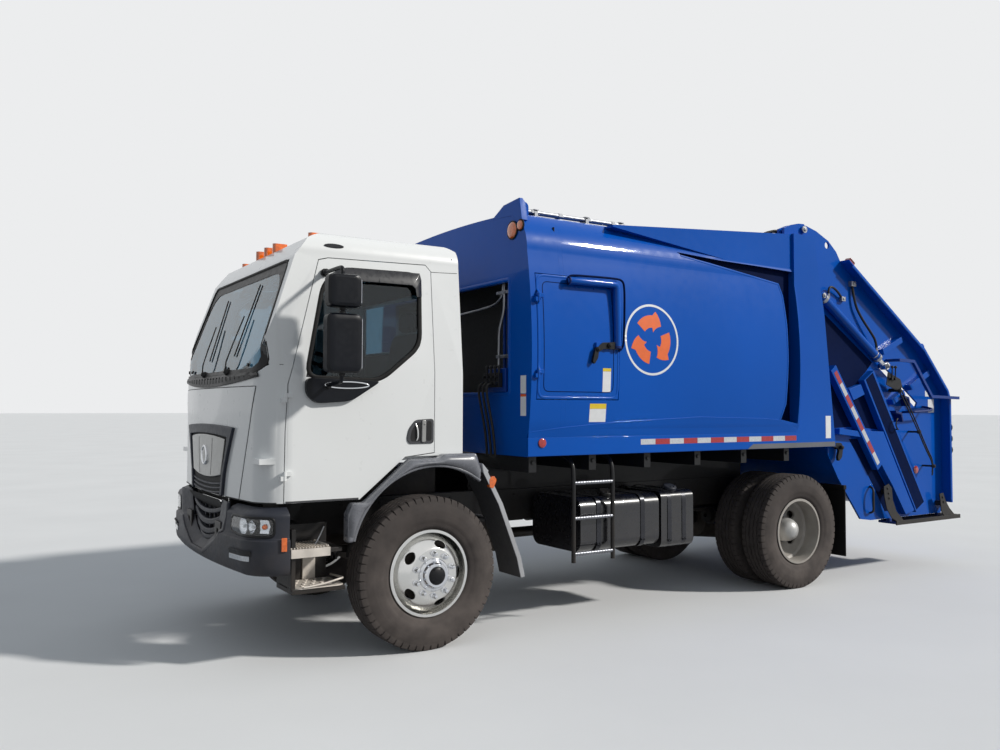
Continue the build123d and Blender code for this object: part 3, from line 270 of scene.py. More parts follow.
tyre_rubber = finish_of("tyre_rubber", tone(58, 54, 53), 0.82, patch=0.14, patch_size=6.0, grain=0.25,
    grain_size=240.0, dust=0.50, dust_top=1.5, dust_tone=(120, 111, 106), specular=0.25)
polished = finish_of("polished_aluminium", tone(222, 222, 220), 0.16, metal=1.0, patch=0.05, patch_size=9.0,
    spread=0.05, dust=0.18, dust_top=0.9)
wheel_grey = finish_of("wheel_paint", tone(176, 172, 166), 0.42, patch=0.10, patch_size=8.0, dust=0.35,
    dust_top=1.2, grain=0.08)
steel = finish_of("bare_steel", tone(150, 152, 156), 0.38, metal=0.9, patch=0.16, patch_size=6.0,
    grain=0.12, grain_size=180.0, dust=0.2)
worn_steel = finish_of("worn_hopper_steel", tone(118, 116, 114), 0.46, metal=0.75, patch=0.35,
    patch_size=3.0, grain=0.4, grain_size=60.0, stretch=(1.0, 6.0, 1.0))
chrome = finish_of("chrome", tone(214, 216, 220), 0.07, metal=1.0, patch=0.03, spread=0.03)
cast = finish_of("cast_iron", tone(42, 41, 42), 0.68, metal=0.35, patch=0.3, grain=0.35,
    grain_size=220.0, dust=0.6)
glass = clear_finish("window_glass", tone(150, 170, 178))
# Windscreen glass: its blue tint is partly the glass's own and partly a painted reflection of the sky
screen_glass_painted_sky = clear_finish("screen_glass_painted_sky", tone(104, 148, 172))
lens = clear_finish("lamp_lens", tone(246, 248, 250))
amber = finish_of("amber_lens", tone(232, 106, 12), 0.14, coat=1.0, patch=0.2, patch_size=50.0)
red_lens = finish_of("red_lens", tone(172, 20, 18), 0.14, coat=1.0, patch=0.2, patch_size=50.0)
bright_lens = finish_of("white_lens", tone(226, 230, 234), 0.10, coat=1.0, patch=0.12, patch_size=60.0)
tape_white = finish_of("white_tape", tone(204, 208, 214), 0.30, coat=0.4, patch=0.10, patch_size=90.0)
tape_red = finish_of("red_tape", tone(170, 28, 42), 0.30, coat=0.4, patch=0.12, patch_size=90.0)
decal_white = finish_of("white_decal", tone(238, 240, 242), 0.35, coat=0.3, patch=0.03, patch_size=20.0)
decal_orange = finish_of("orange_decal", tone(240, 108, 40), 0.35, coat=0.3, patch=0.04, patch_size=20.0)
decal_yellow = finish_of("yellow_decal", tone(236, 204, 42), 0.38, coat=0.3, patch=0.04, patch_size=20.0)
groove_blue = finish_of("blue_shadow_line", tone(1, 22, 70), 0.6, patch=0.05, specular=0.05)
seat_cloth = finish_of("seat_cloth", tone(46, 48, 56), 0.88, patch=0.2, patch_size=40.0, grain=0.7,
    grain_size=420.0, specular=0.2)
trim_grey = finish_of("cab_trim", tone(40, 41, 44), 0.7, patch=0.1, grain=0.2, grain_size=500.0)
# Near black sheets put in recesses, holes and behind grilles: painted shade
painted_shade_black = finish_of("painted_recess_shade", tone(10, 11, 14), 0.8, patch=0.3, patch_size=6.0)
groove_dark = finish_of("panel_gap", tone(22, 24, 28), 0.7, patch=0.1)
hose_black = finish_of("hose_rubber", tone(14, 14, 15), 0.5, patch=0.2, grain=0.15,
    grain_size=350.0, specular=0.3)
guard_light = finish_of("light_guard_edge", tone(176, 178, 182), 0.42, patch=0.08, grain=0.06,
    grain_size=600.0, dust=0.25)
guard_grey = finish_of("grey_guard_plastic", tone(58, 59, 63), 0.46, patch=0.08, grain=0.06,
    grain_size=600.0, dust=0.25)
arch_grey = finish_of("arch_plastic", tone(112, 114, 121), 0.27, coat=0.4, patch=0.06, grain=0.05,
    grain_size=600.0, dust=0.2)
mirror_black = finish_of("mirror_plastic", tone(12, 15, 22), 0.34, patch=0.12, grain=0.04,
    grain_size=700.0, specular=0.2)
smoke = finish_of("smoked_plastic", tone(34, 35, 40), 0.30, coat=0.2, patch=0.08, specular=0.3)
tread_metal = finish_of("tread_aluminium", tone(216, 208, 198), 0.45, metal=0.25, patch=0.12,
    patch_size=12.0, grain=0.2, grain_size=260.0, dust=0.10, dust_top=1.0)
# Darker copy of the blue paint: painted shade for parts that sit in shadow; its dust near the ground is real
# dirt
blue_shade = finish_of("blue_painted_shade", tone(0, 56, 138), 0.42, coat=0.1, patch=0.10, dust=0.3,
    dust_top=1.3, specular=0.25)
# Still darker copy of the blue paint: painted shade for tube caps, the low rail and the guide hooks
blue_dark = finish_of("blue_painted_recess_shade", tone(0, 38, 108), 0.45, coat=0.1, patch=0.10, specular=0.25)
hub_paint = finish_of("hub_paint", tone(196, 196, 194), 0.34, metal=0.3, coat=0.2, patch=0.08,
    patch_size=8.0, dust=0.2)
strap_black = finish_of("strap_steel", tone(52, 53, 58), 0.30, metal=0.6, patch=0.15, patch_size=9.0)
strap_steel = finish_of("rung_steel", tone(128, 130, 136), 0.36, metal=0.8, patch=0.12,
    patch_size=9.0, grain=0.1)
# Near black blue: painted deep shade for the recess walls, the tailgate's shadowed regions and the rod by the
# hatch tube
deep_shade_blue = finish_of("blue_painted_deep_shade", tone(0, 19, 60), 0.6, patch=0.12, specular=0.04)
primer_grey = finish_of("grey_primer", tone(98, 101, 108), 0.50, patch=0.10,
    grain=0.05, dust=0.15, dust_top=1.5)
slot_finish = {
    "blue": blue, "white": white, "black_metal": black_metal, "grey_plastic": grey_plastic,
    "black_plastic": black_plastic, "silver": silver, "glass": glass, "lamp": lens, "amber": amber,
    "red_lamp": red_lens, "tyre": tyre_rubber, "aluminium": polished, "wheel_grey": wheel_grey, "steel": steel,
    "chrome": chrome, "cast": cast, "seat": seat_cloth,
}


# Making pieces


def mesh_of(name, bm):
    """The finished mesh of a bmesh."""
    mesh = bpy.data.meshes.new(name)
    bm.to_mesh(mesh)
    bm.free()
    return mesh


def linked(name, data):
    """A new object in the scene."""
    obj = bpy.data.objects.new(name, data)
    scene.collection.objects.link(obj)
    return obj


def settle(obj, material, body, replaced=()):
    """Gives a linked object its finish and its body."""
    obj.data.materials.clear()
    obj.data.materials.append(material)
    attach(obj, body)
    if replaced:
        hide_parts(*replaced)
    return obj


def soften(obj, bevel, segments=2, limit=32):
    """Rounds the object's sharp edges and keeps its flat faces flat."""
    if bevel:
        rounding = obj.modifiers.new("bevel", "BEVEL")
        rounding.width = bevel
        rounding.segments = segments
        rounding.limit_method = "ANGLE"
        rounding.angle_limit = radians(limit)
        rounding.use_clamp_overlap = True
    evened = obj.modifiers.new("normals", "WEIGHTED_NORMAL")
    evened.keep_sharp = True


def shade(mesh, angle=38):
    """Smooth shading, with edges sharper than the angle kept sharp."""
    for polygon in mesh.polygons:
        polygon.use_smooth = True
    mesh.set_sharp_from_angle(angle=radians(angle))


def piece(name, bm, material, body, bevel=0.002, angle=38, segments=2, replaced=()):
    """Object from a bmesh, riding on a body."""
    bmesh.ops.remove_doubles(bm, verts=bm.verts, dist=1e-6)
    bmesh.ops.recalc_face_normals(bm, faces=bm.faces)
    obj = linked(name, mesh_of(name, bm))
    shade(obj.data, angle)
    soften(obj, bevel, segments)
    return settle(obj, material, body, replaced)


def formed(form_into, *shape, **options):
    """A bmesh that holds one form."""
    bm = bmesh.new()
    form_into(bm, *shape, **options)
    return bm


def dress(node, material=None, bevel=0.003, segments=2, angle=30):
    """A copy of a CAD node with clean faces and rounded edges, shown in the node's place."""
    bm = bmesh.new()
    bm.from_mesh(nodes[node].data)
    bmesh.ops.remove_doubles(bm, verts=bm.verts, dist=2e-5)
    bmesh.ops.dissolve_limit(bm, angle_limit=radians(0.6), verts=bm.verts, edges=bm.edges)
    bmesh.ops.triangulate(bm, faces=[face for face in bm.faces if len(face.verts) > 6])
    name = f"{node}_dressed"
    obj = linked(name, mesh_of(name, bm))
    shade(obj.data, angle)
    soften(obj, bevel, segments)
    slot = node_slot[node]
    return settle(obj, material or slot_finish[slot], node_body[node], [node])


def band_into(bm, first, second, closed=True):
    """Faces between two rows of corners, round to the start again where they are closed."""
    count = len(first)
    for index in range(count if closed else count - 1):
        after = (index + 1) % count
        bm.faces.new((first[index], first[after], second[after], second[index]))


box_faces = ((0, 1, 3, 2), (4, 6, 7, 5), (0, 4, 5, 1), (2, 3, 7, 6), (0, 2, 6, 4), (1, 5, 7, 3))


def box_into(bm, x, y, z):
    """Box between limits, each given as a pair."""
    corners = [bm.verts.new((a, b, c)) for a in x for b in y for c in z]
    for order in box_faces:
        bm.faces.new([corners[index] for index in order])


def prism_into(bm, outline, low, high, plane="xz"):
    """Prism of an outline in X and Z between two Y values, or in Y and Z between two X, or in X and Y."""
    def place(first, second, depth):
        return {"xz": (first, depth, second), "yz": (depth, first, second),
            "xy": (first, second, depth)}[plane]
    bottom = [bm.verts.new(place(a, b, low)) for a, b in outline]
    top = [bm.verts.new(place(a, b, high)) for a, b in outline]
    bm.faces.new(bottom)
    bm.faces.new(top[::-1])
    band_into(bm, bottom, top)


def turned(direction):
    """Rotation that takes Z to a direction."""
    return Vector(direction).normalized().to_track_quat("Z", "Y").to_matrix().to_4x4()


def bar_into(bm, start, end, radius, sides=20, end_radius=None):
    """Round bar or cone between two points."""
    start, end = Vector(start), Vector(end)
    matrix = Matrix.Translation((start + end) / 2) @ turned(end - start)
    bmesh.ops.create_cone(bm, cap_ends=True, segments=sides, radius1=radius,
        radius2=radius if end_radius is None else end_radius, depth=(end - start).length, matrix=matrix)


def ball_into(bm, place, radius, flat=(1, 1, 1)):
    """Ball, stretched along each axis."""
    matrix = Matrix.Translation(place) @ Matrix.Diagonal((*flat, 1))
    bmesh.ops.create_uvsphere(bm, u_segments=20, v_segments=12, radius=radius, matrix=matrix)


def lathe_into(bm, profile, centre, direction, steps=64, closed=True):
    """Solid of revolution. The profile holds (distance along the axis, radius)."""
    matrix = Matrix.Translation(centre) @ turned(direction)
    rings = []
    for step in range(steps):
        angle = 2 * pi * step / steps
        rings.append([bm.verts.new(matrix @ Vector((r * cos(angle), r * sin(angle), along)))
            for along, r in profile])
    for step in range(steps):
        band_into(bm, rings[step], rings[(step + 1) % steps], closed)


def bolt_into(bm, place, direction, radius=0.012, height=0.010):
    """Hexagon head on a washer."""
    place, direction = Vector(place), Vector(direction).normalized()
    bar_into(bm, place, place + direction * height * 0.25, radius * 1.5, 16)
    bar_into(bm, place, place + direction * height * 0.85, radius * 1.15, 6)
    bar_into(bm, place + direction * height * 0.85, place + direction * height,
        radius * 1.15, 6, radius * 0.95)


def bolts(name, places, direction, body, radius=0.012, height=0.010, material=steel):
    """One piece of hexagon bolts that all point the same way."""
    bm = bmesh.new()
    for place in places:
        bolt_into(bm, place, direction, radius, height)
    return piece(name, bm, material, body, 0)


def pipe(name, points, radius, material, body, order=3, closed=False, sides=6):
    """Bent pipe or clamped hose along control points."""
    curve = bpy.data.curves.new(name, "CURVE")
    curve.dimensions = "3D"
    curve.bevel_depth = radius
    curve.bevel_resolution = sides
    curve.use_fill_caps = True
    curve.resolution_u = 10
    line = curve.splines.new("NURBS")
    line.points.add(len(points) - 1)
    for point, place in zip(line.points, points):
        point.co = (*place, 1)
    line.order_u = order
    line.use_endpoint_u = not closed
    line.use_cyclic_u = closed
    return settle(linked(name, curve), material, body)


def rounded(corners, radius, steps=5):
    """Closed outline with its corners rounded."""
    made = []
    count = len(corners)
    for index, corner in enumerate(corners):
        here = Vector(corner)
        before = Vector(corners[index - 1]) - here
        after = Vector(corners[(index + 1) % count]) - here
        reach = min(radius, before.length * 0.45, after.length * 0.45)
        start, end = here + before.normalized() * reach, here + after.normalized() * reach
        for step in range(steps + 1):
            share = step / steps
            made.append(tuple((1 - share) ** 2 * start + 2 * share * (1 - share) * here + share ** 2 * end))
    return made


def dense(points, spacing, closed=True):
    """Points along an outline, no further apart than the spacing."""
    made = []
    count = len(points)
    for index in range(count if closed else count - 1):
        first, second = Vector(points[index]), Vector(points[(index + 1) % count])
        pieces = max(1, int((second - first).length / spacing + 0.999))
        made += [tuple(first.lerp(second, step / pieces)) for step in range(pieces)]
    if not closed:
        made.append(tuple(points[-1]))
    return made


class Skin:
    """Outer surface of some CAD nodes, for laying details on."""

    def __init__(self, *names):
        bm = bmesh.new()
        for name in names:
            bm.from_mesh(nodes[name].data)
        self.tree = BVHTree.FromBMesh(bm)
        bm.free()

    def hit(self, origin, direction):
        place, normal = self.tree.ray_cast(Vector(origin), Vector(direction))[:2]
        if place is None:
            return None
        if normal.dot(Vector(direction)) > 0:
            normal = -normal
        return place, normal

    def side(self, x, z, side=1):
        return self.hit((x, 3 * side, z), (0, -side, 0))

    def front(self, y, z):
        return self.hit((8, y, z), (-1, 0, 0))

    def top(self, x, y):
        return self.hit((x, y, 6), (0, 0, -1))


def ribbon_into(bm, spots, section, closed=True):
    """Strip along (place, normal) spots. The section holds (sideways, up) offsets."""
    count = len(spots)
    rows = []
    for index, (place, normal) in enumerate(spots):
        before = spots[index - 1][0] if closed or index else place
        after = spots[(index + 1) % count][0] if closed or index < count - 1 else place
        along = (after - before).normalized()
        across = normal.cross(along).normalized()
        rows.append([bm.verts.new(place + across * s + normal * u) for s, u in section])
    for index in range(count if closed else count - 1):
        band_into(bm, rows[index], rows[(index + 1) % count])
    if not closed:
        bm.faces.new(rows[0][::-1])
        bm.faces.new(rows[-1])


def flat_section(half, rise, sink=0.003):
    """Section of a flat strip for a ribbon, with its foot sunk in the surface."""
    return ((-half, -sink), (-half * 0.82, rise), (half * 0.82, rise), (half, -sink))


def round_section(half, rise, steps=6, sink=0.004):
    """Section of a crowned strip for a ribbon, with its foot sunk in the surface."""
    arc = [(-half * cos(pi * step / steps), rise * sin(pi * step / steps)) for step in range(steps + 1)]
    return tuple(arc) + ((half, -sink), (-half, -sink))


def sheet_into(bm, rows, thickness):
    """Thin plate over a grid of (place, normal) spots, thickness above the surface."""
    top = [[bm.verts.new(place + normal * thickness) for place, normal in row] for row in rows]
    bottom = [[bm.verts.new(place - normal * 0.002) for place, normal in row] for row in rows]
    for grid, flip in ((top, False), (bottom, True)):
        for first, second in zip(grid, grid[1:]):
            for index in range(len(first) - 1):
                face = (first[index], first[index + 1], second[index + 1], second[index])
                bm.faces.new(face[::-1] if flip else face)
    edge_top = top[0] + [row[-1] for row in top[1:]] + top[-1][-2::-1] + [row[0] for row in top[-2:0:-1]]
    edge_low = (bottom[0] + [row[-1] for row in bottom[1:]] + bottom[-1][-2::-1]
        + [row[0] for row in bottom[-2:0:-1]])
    band_into(bm, edge_top, edge_low)


def cut(obj, *cutters):
    """Takes cutters away from an object's mesh, then removes them."""
    for cutter in cutters:
        taking = obj.modifiers.new("cut", "BOOLEAN")
        taking.operation = "DIFFERENCE"
        taking.solver = "EXACT"
        taking.object = cutter
        obj.modifiers.move(len(obj.modifiers) - 1, 0)
    held = [(modifier, modifier.show_viewport) for modifier in obj.modifiers if modifier.type != "BOOLEAN"]
    for modifier, shown in held:
        modifier.show_viewport = False
    bpy.context.view_layer.update()
    made = bpy.data.meshes.new_from_object(obj.evaluated_get(bpy.context.evaluated_depsgraph_get()))
    obj.data = made
    for modifier in [m for m in obj.modifiers if m.type == "BOOLEAN"]:
        obj.modifiers.remove(modifier)
    for modifier, shown in held:
        modifier.show_viewport = shown
    shade(obj.data)
    for cutter in cutters:
        bpy.data.objects.remove(cutter)


def loose(name, bm):
    """Helper object that is used as a cutter."""
    bmesh.ops.recalc_face_normals(bm, faces=bm.faces)
    return linked(name, mesh_of(name, bm))


# Tyres

outer_wheel_y, inner_wheel_y = 1.046, 0.716
bead_y, wall_y = 0.086, 0.138
bead_r = 0.2868
edge_y, edge_r = 0.120, 0.500
pitches = 56
groove_places = (-0.064, -0.022, 0.022, 0.064)
groove_half = 0.0055
groove_depth = 0.012
lug_start = 0.078


def wall_points():
    """Sidewall from bead to shoulder as (y, radius), with a bead ring and fine ribs that stand out."""
    made = []
    steps = 16
    for step in range(steps + 1):
        share = step / steps
        radius = bead_r + (edge_r - bead_r) * share
        bulge = sin(pi * min(1.0, share * 1.02) ** 0.85)
        y = bead_y + (edge_y - bead_y) * share + (wall_y - (bead_y + edge_y) / 2 - 0.003) * bulge
        if step in (2, 3):
            y += 0.004
        if step in (6, 11, 13):
            y += 0.0018
        made.append((y, radius))
    return made


def tread_stations():
    """Stations across the tread: (y, drop, swings with the zigzag, is on the lugs)."""
    made = [(-lug_start, 0, False, False)]
    for place in groove_places:
        for offset, deep in ((-groove_half, 0), (-groove_half + 0.0015, 1),
                (groove_half - 0.0015, 1), (groove_half, 0)):
            made.append((place + offset, deep * groove_depth, True, False))
    made.append((lug_start, 0, False, False))
    edges = ((0.0795, 0), (0.100, 0), (0.113, 0.006), (edge_y, tyre_radius - edge_r))
    left = [(-y, drop, False, True) for y, drop in edges[::-1]]
    return left + made + [(y, drop, False, True) for y, drop in edges]


def tyre_into(bm, place, centre_y):
    """Tyre with zigzag grooves round the tread and lugs cut across its shoulders."""
    walls = wall_points()
    stations = tread_stations()
    beats = ((0.0, 0, 0), (0.40, 0, 1), (0.80, 0, 0), (0.825, 1, 0), (0.975, 1, 0))
    rings = []
    for pitch in range(pitches):
        for share, in_cut, swing in beats:
            angle = 2 * pi * (pitch + share) / pitches
            ring = [(y, r) for y, r in walls[:-1]]
            line = [(-y, r) for y, r in ring]
            for y, drop, zigzag, lug in stations:
                radius = tyre_radius - drop
                shift = (0.004 if swing else -0.004) if zigzag else 0.0
                if lug and in_cut:
                    radius -= 0.010
                    y = y * 0.985
                line.append((y + shift, radius))
            line += ring[::-1]
            rings.append([bm.verts.new((at(place) + r * cos(angle), centre_y + y,
                hub_z + r * sin(angle))) for y, r in line])
    for ring, following in zip(rings, rings[1:] + rings[:1]):
        band_into(bm, ring, following)


def make_tyres(name, side):
    """Front tyre, and the twin rear tyres as one piece."""
    piece(f"tyre_front_{name}_treaded", formed(tyre_into, 0, side * outer_wheel_y), tyre_rubber,
        f"wheel_front_{name}", 0, 34, replaced=[f"tyre_front_{name}"])
    bm = bmesh.new()
    for centre in (outer_wheel_y, inner_wheel_y):
        tyre_into(bm, -wheelbase, side * centre)
    piece(f"tyres_rear_{name}_treaded", bm, tyre_rubber, f"wheels_rear_{name}", 0, 34,
        replaced=[f"tyres_rear_{name}"])


# Rims and hubs

rim_lip_y, rim_lip_r, rim_seat_r = 0.114, 0.299, 0.2855
disc_face = 0.165
hole_circle = 0.205
nut_circle = 0.143
nuts = 10
drum_y = 0.996


def rim_barrel_into(bm, place, centre_y):
    """Barrel of a rim with its lips and bead seats."""
    profile = [(-rim_lip_y, 0.2775), (rim_lip_y, 0.2775), (rim_lip_y, 0.296), (0.111, rim_lip_r),
        (0.106, 0.2955), (0.105, rim_seat_r), (0.08, 0.2835), (-0.08, 0.2835), (-0.105, rim_seat_r),
        (-0.106, 0.2955), (-0.111, rim_lip_r), (-rim_lip_y, 0.296)]
    lathe_into(bm, profile, (at(place), centre_y, hub_z), (0, 1, 0), 96)


def disc_profile():
    """Dished disc from the barrel to the hub bore as (outward, radius)."""
    return [(0.046, 0.2775), (0.060, 0.268), (0.092, 0.250), (0.128, 0.222), (0.150, 0.192), (0.162, 0.178),
        (disc_face, 0.168), (disc_face, 0.070), (0.154, 0.070), (0.154, 0.164), (0.140, 0.180),
        (0.116, 0.214), (0.080, 0.240), (0.046, 0.256), (0.034, 0.2775)]


def holed_disc(name, place, centre_y, way, material, body, replaced=(), phase=0.0):
    """Dished disc with five rounded hand holes."""
    disc = piece(name, formed(lathe_into, [(way * y, r) for y, r in disc_profile()],
        (at(place), centre_y, hub_z), (0, 1, 0), 96), material, body, 0.0025, 30,
        replaced=replaced)
    cutters = bmesh.new()
    for hole in range(5):
        angle = 2 * pi * (hole + phase) / 5
        outline = []
        for step in range(28):
            turn = 2 * pi * step / 28
            across, along = 0.026 * cos(turn), 0.046 * sin(turn)
            squeeze = 1.0 - 0.10 * sin(turn) ** 2
            radius = hole_circle + across * squeeze
            sweep = angle + along / hole_circle
            outline.append((at(place) + radius * cos(sweep), hub_z + radius * sin(sweep)))
        prism_into(cutters, outline, centre_y - 0.3, centre_y + 0.3)
    cut(disc, loose("disc_cutters", cutters))
    return disc


def nut_places(place):
    """X and Z of the wheel nuts, a half step off the top."""
    angles = [2 * pi * (nut + 0.5) / nuts for nut in range(nuts)]
    return [(at(place) + nut_circle * cos(angle), hub_z + nut_circle * sin(angle)) for angle in angles]


def make_front_wheels(name, side):
    """Barrel, disc, nuts, hub ring, cap and drum of a front wheel."""
    body = f"wheel_front_{name}"
    centre_y = side * outer_wheel_y
    piece(f"rim_barrel_front_{name}", formed(rim_barrel_into, 0, centre_y), polished, body, 0, 40)
    holed_disc(f"rim_disc_front_{name}", 0, centre_y, side, polished, body,
        [f"rim_front_{name}"], 0.5)
    face = centre_y + side * disc_face
    bm = bmesh.new()
    for x, z in nut_places(0):
        lathe_into(bm, [(0, 0.0215), (0.006, 0.0215), (0.010, 0.0165), (0.034, 0.0155), (0.043, 0.011),
            (0.047, 0.0)], (x, face, z), (0, side, 0), 18, closed=False)
    piece(f"wheel_nuts_front_{name}", bm, chrome, body, 0, 40)
    bm = formed(lathe_into, [(-0.02, 0.112), (0.012, 0.112), (0.018, 0.106), (0.020, 0.094), (0.040, 0.086),
        (0.052, 0.078), (0.052, 0.060), (-0.02, 0.060)], (at(0), face, hub_z), (0, side, 0), 60)
    piece(f"hub_ring_front_{name}", bm, chrome, body, 0.001, 40)
    bm = bmesh.new()
    lathe_into(bm, [(-0.01, 0.064), (0.050, 0.064), (0.060, 0.058), (0.068, 0.040), (0.071, 0.0)],
        (at(0), face, hub_z), (0, side, 0), 48, closed=False)
    for bolt in range(6):
        angle = 2 * pi * bolt / 6
        bolt_into(bm, (at(0) + 0.050 * cos(angle), face + side * 0.060, hub_z + 0.050 * sin(angle)),
            (0, side, 0), 0.005, 0.008)
    piece(f"hub_cap_front_{name}", bm, black_plastic, body, 0, 40)
    bm = bmesh.new()
    lathe_into(bm, [(0.012, 0.205), (0.122, 0.205), (0.122, 0.16), (0.112, 0.10), (0.112, 0.045),
        (0.012, 0.045)], (at(0), side * drum_y, hub_z), (0, side, 0), 48)
    lathe_into(bm, [(0.11, 0.075), (0.20, 0.075), (0.20, 0.045), (0.11, 0.045)],
        (at(0), side * drum_y, hub_z), (0, side, 0), 32)
    piece(f"hub_drum_front_{name}", bm, cast, body, 0.002, 40)


def make_rear_wheels(name, side):
    """Barrels, discs, nuts, axle end and drum of a rear twin set."""
    body = f"wheels_rear_{name}"
    outer, inner = side * outer_wheel_y, side * inner_wheel_y
    bm = bmesh.new()
    for centre_y in (outer, inner):
        rim_barrel_into(bm, -wheelbase, centre_y)
    piece(f"rim_barrels_rear_{name}", bm, wheel_grey, body, 0, 40)
    holed_disc(f"rim_disc_rear_{name}", -wheelbase, outer, -side, wheel_grey, body,
        [f"rims_rear_{name}"])
    holed_disc(f"rim_disc_inner_{name}", -wheelbase, inner, side, wheel_grey, body)
    face = outer - side * 0.154
    bm = bmesh.new()
    for x, z in nut_places(-wheelbase):
        bolt_into(bm, (x, face, z), (0, side, 0), 0.017, 0.030)
    piece(f"wheel_nuts_rear_{name}", bm, steel, body, 0, 40)
    bm = formed(lathe_into, [(-0.06, 0.112), (0.10, 0.112), (0.13, 0.109), (0.165, 0.100), (0.195, 0.082),
        (0.214, 0.056), (0.224, 0.028), (0.227, 0.0)], (at(-wheelbase), face, hub_z),
        (0, side, 0), 48, closed=False)
    piece(f"axle_end_rear_{name}", bm, hub_paint, body, 0, 40)
    bm = formed(lathe_into, [(-0.16, 0.205), (-0.05, 0.205), (-0.05, 0.09), (0.14, 0.09), (0.14, 0.05),
        (-0.16, 0.05)], (at(-wheelbase), inner + side * 0.03, hub_z), (0, side, 0), 48)
    piece(f"brake_drum_rear_{name}", bm, cast, body, 0.002, 40)


# Nodes that keep their CAD form, with rounded edges: node, bevel, finish

plain_nodes = (
    ("frame_rails", 0.002, black_metal), ("leaf_springs", 0.003, black_metal), ("front_axle", 0.008, cast),
    ("rear_axle", 0.012, cast), ("driveshaft", 0.003, black_metal), ("engine_block", 0.012, cast),
    ("radiator", 0.004, black_metal), ("fuel_tank", 0.004, tank_black), ("small_tank", 0.004, tank_black),
    ("battery_box", 0.006, black_metal), ("air_tanks", 0.008, black_metal),
    ("muffler", 0.010, steel), ("step_wells", 0.004, black_metal),
    ("front_mudguards", 0.004, guard_grey), ("mud_flaps", 0.002, rubber), ("body_subframe", 0.003, black_metal),
    # valve_box wears blue_shade, the blue paint darkened as painted shade
    ("roof_pipes", 0.002, steel), ("valve_box", 0.004, blue_shade), ("access_door", 0.004, blue),
    ("ejector", 0.006, steel), ("knuckle_left", 0.006, cast), ("knuckle_right", 0.006, cast),
    # cab_glass wears the windscreen glass, whose blue tint is partly a painted sky reflection
    ("cab_shell", 0.007, white), ("cab_glass", 0.0008, screen_glass_painted_sky), ("fender_arches", 0.016, arch_grey),
    ("dashboard", 0.012, trim_grey), ("door_left", 0.004, white), ("door_right", 0.004, white),
    ("door_glass_left", 0.0008, glass), ("door_glass_right", 0.0008, glass), ("tailgate", 0, blue),
    ("gate_frames", 0.003, blue), ("packer_barrels", 0.003, blue), ("packer_rods", 0.002, chrome),
    # rear_steps wears blue_shade, the blue paint darkened as painted shade
    ("rear_steps", 0.003, blue_shade), ("packer_carriage", 0.005, blue), ("sweep_blade", 0.005, worn_steel),
    ("tail_lamps", 0.004, red_lens), ("roof_lamps", 0.010, amber), ("steering_wheel", 0.004, black_plastic),
)


def dress_plain_nodes():
    """Shows the nodes of the list, with finer rounding where it is wide."""
    for node, bevel, material in plain_nodes:
        dress(node, material, bevel, 3 if bevel > 0.006 else 2)


# Forms of the cab and the bumper, as in the part's source: front, half width, corner

cab_plan = (1.210, 1.060, 0.215)
bumper_plan = (1.285, 1.115, 0.250)
plan_bow = 0.055
lean_from, lean = 1.900, 0.075 / 0.780


def plan_spot(plan, s, z, proud=0.0):
    """Place and outward normal on a bowed front, at s along it from the middle towards the left."""
    front, half, corner = plan
    straight = half - corner
    way = 1 if s >= 0 else -1
    a = abs(s)
    if a <= straight:
        place = Vector((at(front - plan_bow * (a / straight) ** 2), s, z))
        normal = Vector((1, way * 2 * plan_bow * a / straight ** 2, 0)).normalized()
    else:
        turn = min((a - straight) / corner, pi / 2)
        rest = max(0.0, a - straight - corner * pi / 2)
        place = Vector((at(front - plan_bow - corner + corner * cos(turn) - rest),
            way * (straight + corner * sin(turn)), z))
        normal = Vector((cos(turn), way * sin(turn), 0))
    return place + normal * proud, normal


def cab_front(y, z, proud=0.0):
    """Spot on the cab's nose, which is cut back by its side view near the middle."""
    place, normal = plan_spot(cab_plan, y, z, 0.0)
    limit = 1.206 + 0.004 * (z - 0.985) / 0.515 if z < 1.5 else 1.210 - 0.012 * (z - 1.5) / 0.35
    place.x = min(place.x, at(limit))
    return place + normal * proud, normal


def cab_side(x, z, side=1, proud=0.0):
    """Spot on the cab's side: upright, leaning in above the belt, round at the front corner."""
    y = 1.060 - max(0.0, z - lean_from) * lean
    turn = max(0.0, (x - 0.940) / 0.215)
    y -= 0.215 * (1 - cos(min(turn, 1.2)))
    normal = Vector((turn * 0.8, side, lean if z > lean_from else 0.0)).normalized()
    return Vector((at(x), side * y, z)) + normal * proud, normal


def screen_spot(y, z, proud=0.0):
    """Spot on the windscreen, cast onto its pane."""
    found = pane_skin.hit((8, y, z), (-1, 0, 0)) or pane_skin.hit((8, y * 0.97, z - 0.01), (-1, 0, 0))
    if not found:
        found = cab_front(y, min(z, 1.9))
    return found[0] + found[1] * proud, found[1]


pane_skin = Skin("cab_glass")
screen_outline = ((-0.905, 2.640), (0.905, 2.640), (1.000, 1.930), (0.900, 1.875),
    (-0.900, 1.875), (-1.000, 1.930))
window_outline = ((0.861, 1.855), (0.730, 2.480), (0.600, 2.590), (0.010, 2.600),
    (0.025, 2.090), (0.339, 1.840))


def drawn_in(points, distance):
    """Outline moved towards its middle, each point by about the distance."""
    middle = Vector((sum(p[0] for p in points) / len(points), sum(p[1] for p in points) / len(points)))
    half = Vector((max(p[0] for p in points) - min(p[0] for p in points),
        max(p[1] for p in points) - min(p[1] for p in points))) / 2
    made = []
    for point in points:
        offset = Vector(point) - middle
        made.append((middle.x + offset.x * (1 - distance / half.x),
            middle.y + offset.y * (1 - distance / half.y)))
    return made


def point_round(points, share):
    """Point at a share of the length round a closed outline."""
    corners = [Vector(point) for point in points]
    legs = list(zip(corners, corners[1:] + corners[:1]))
    lengths = [0.0]
    for start, end in legs:
        lengths.append(lengths[-1] + (end - start).length)
    want = share * lengths[-1]
    for (start, end), before, after in zip(legs, lengths, lengths[1:]):
        if after >= want:
            return start.lerp(end, (want - before) / max(1e-9, after - before))
    return corners[0]


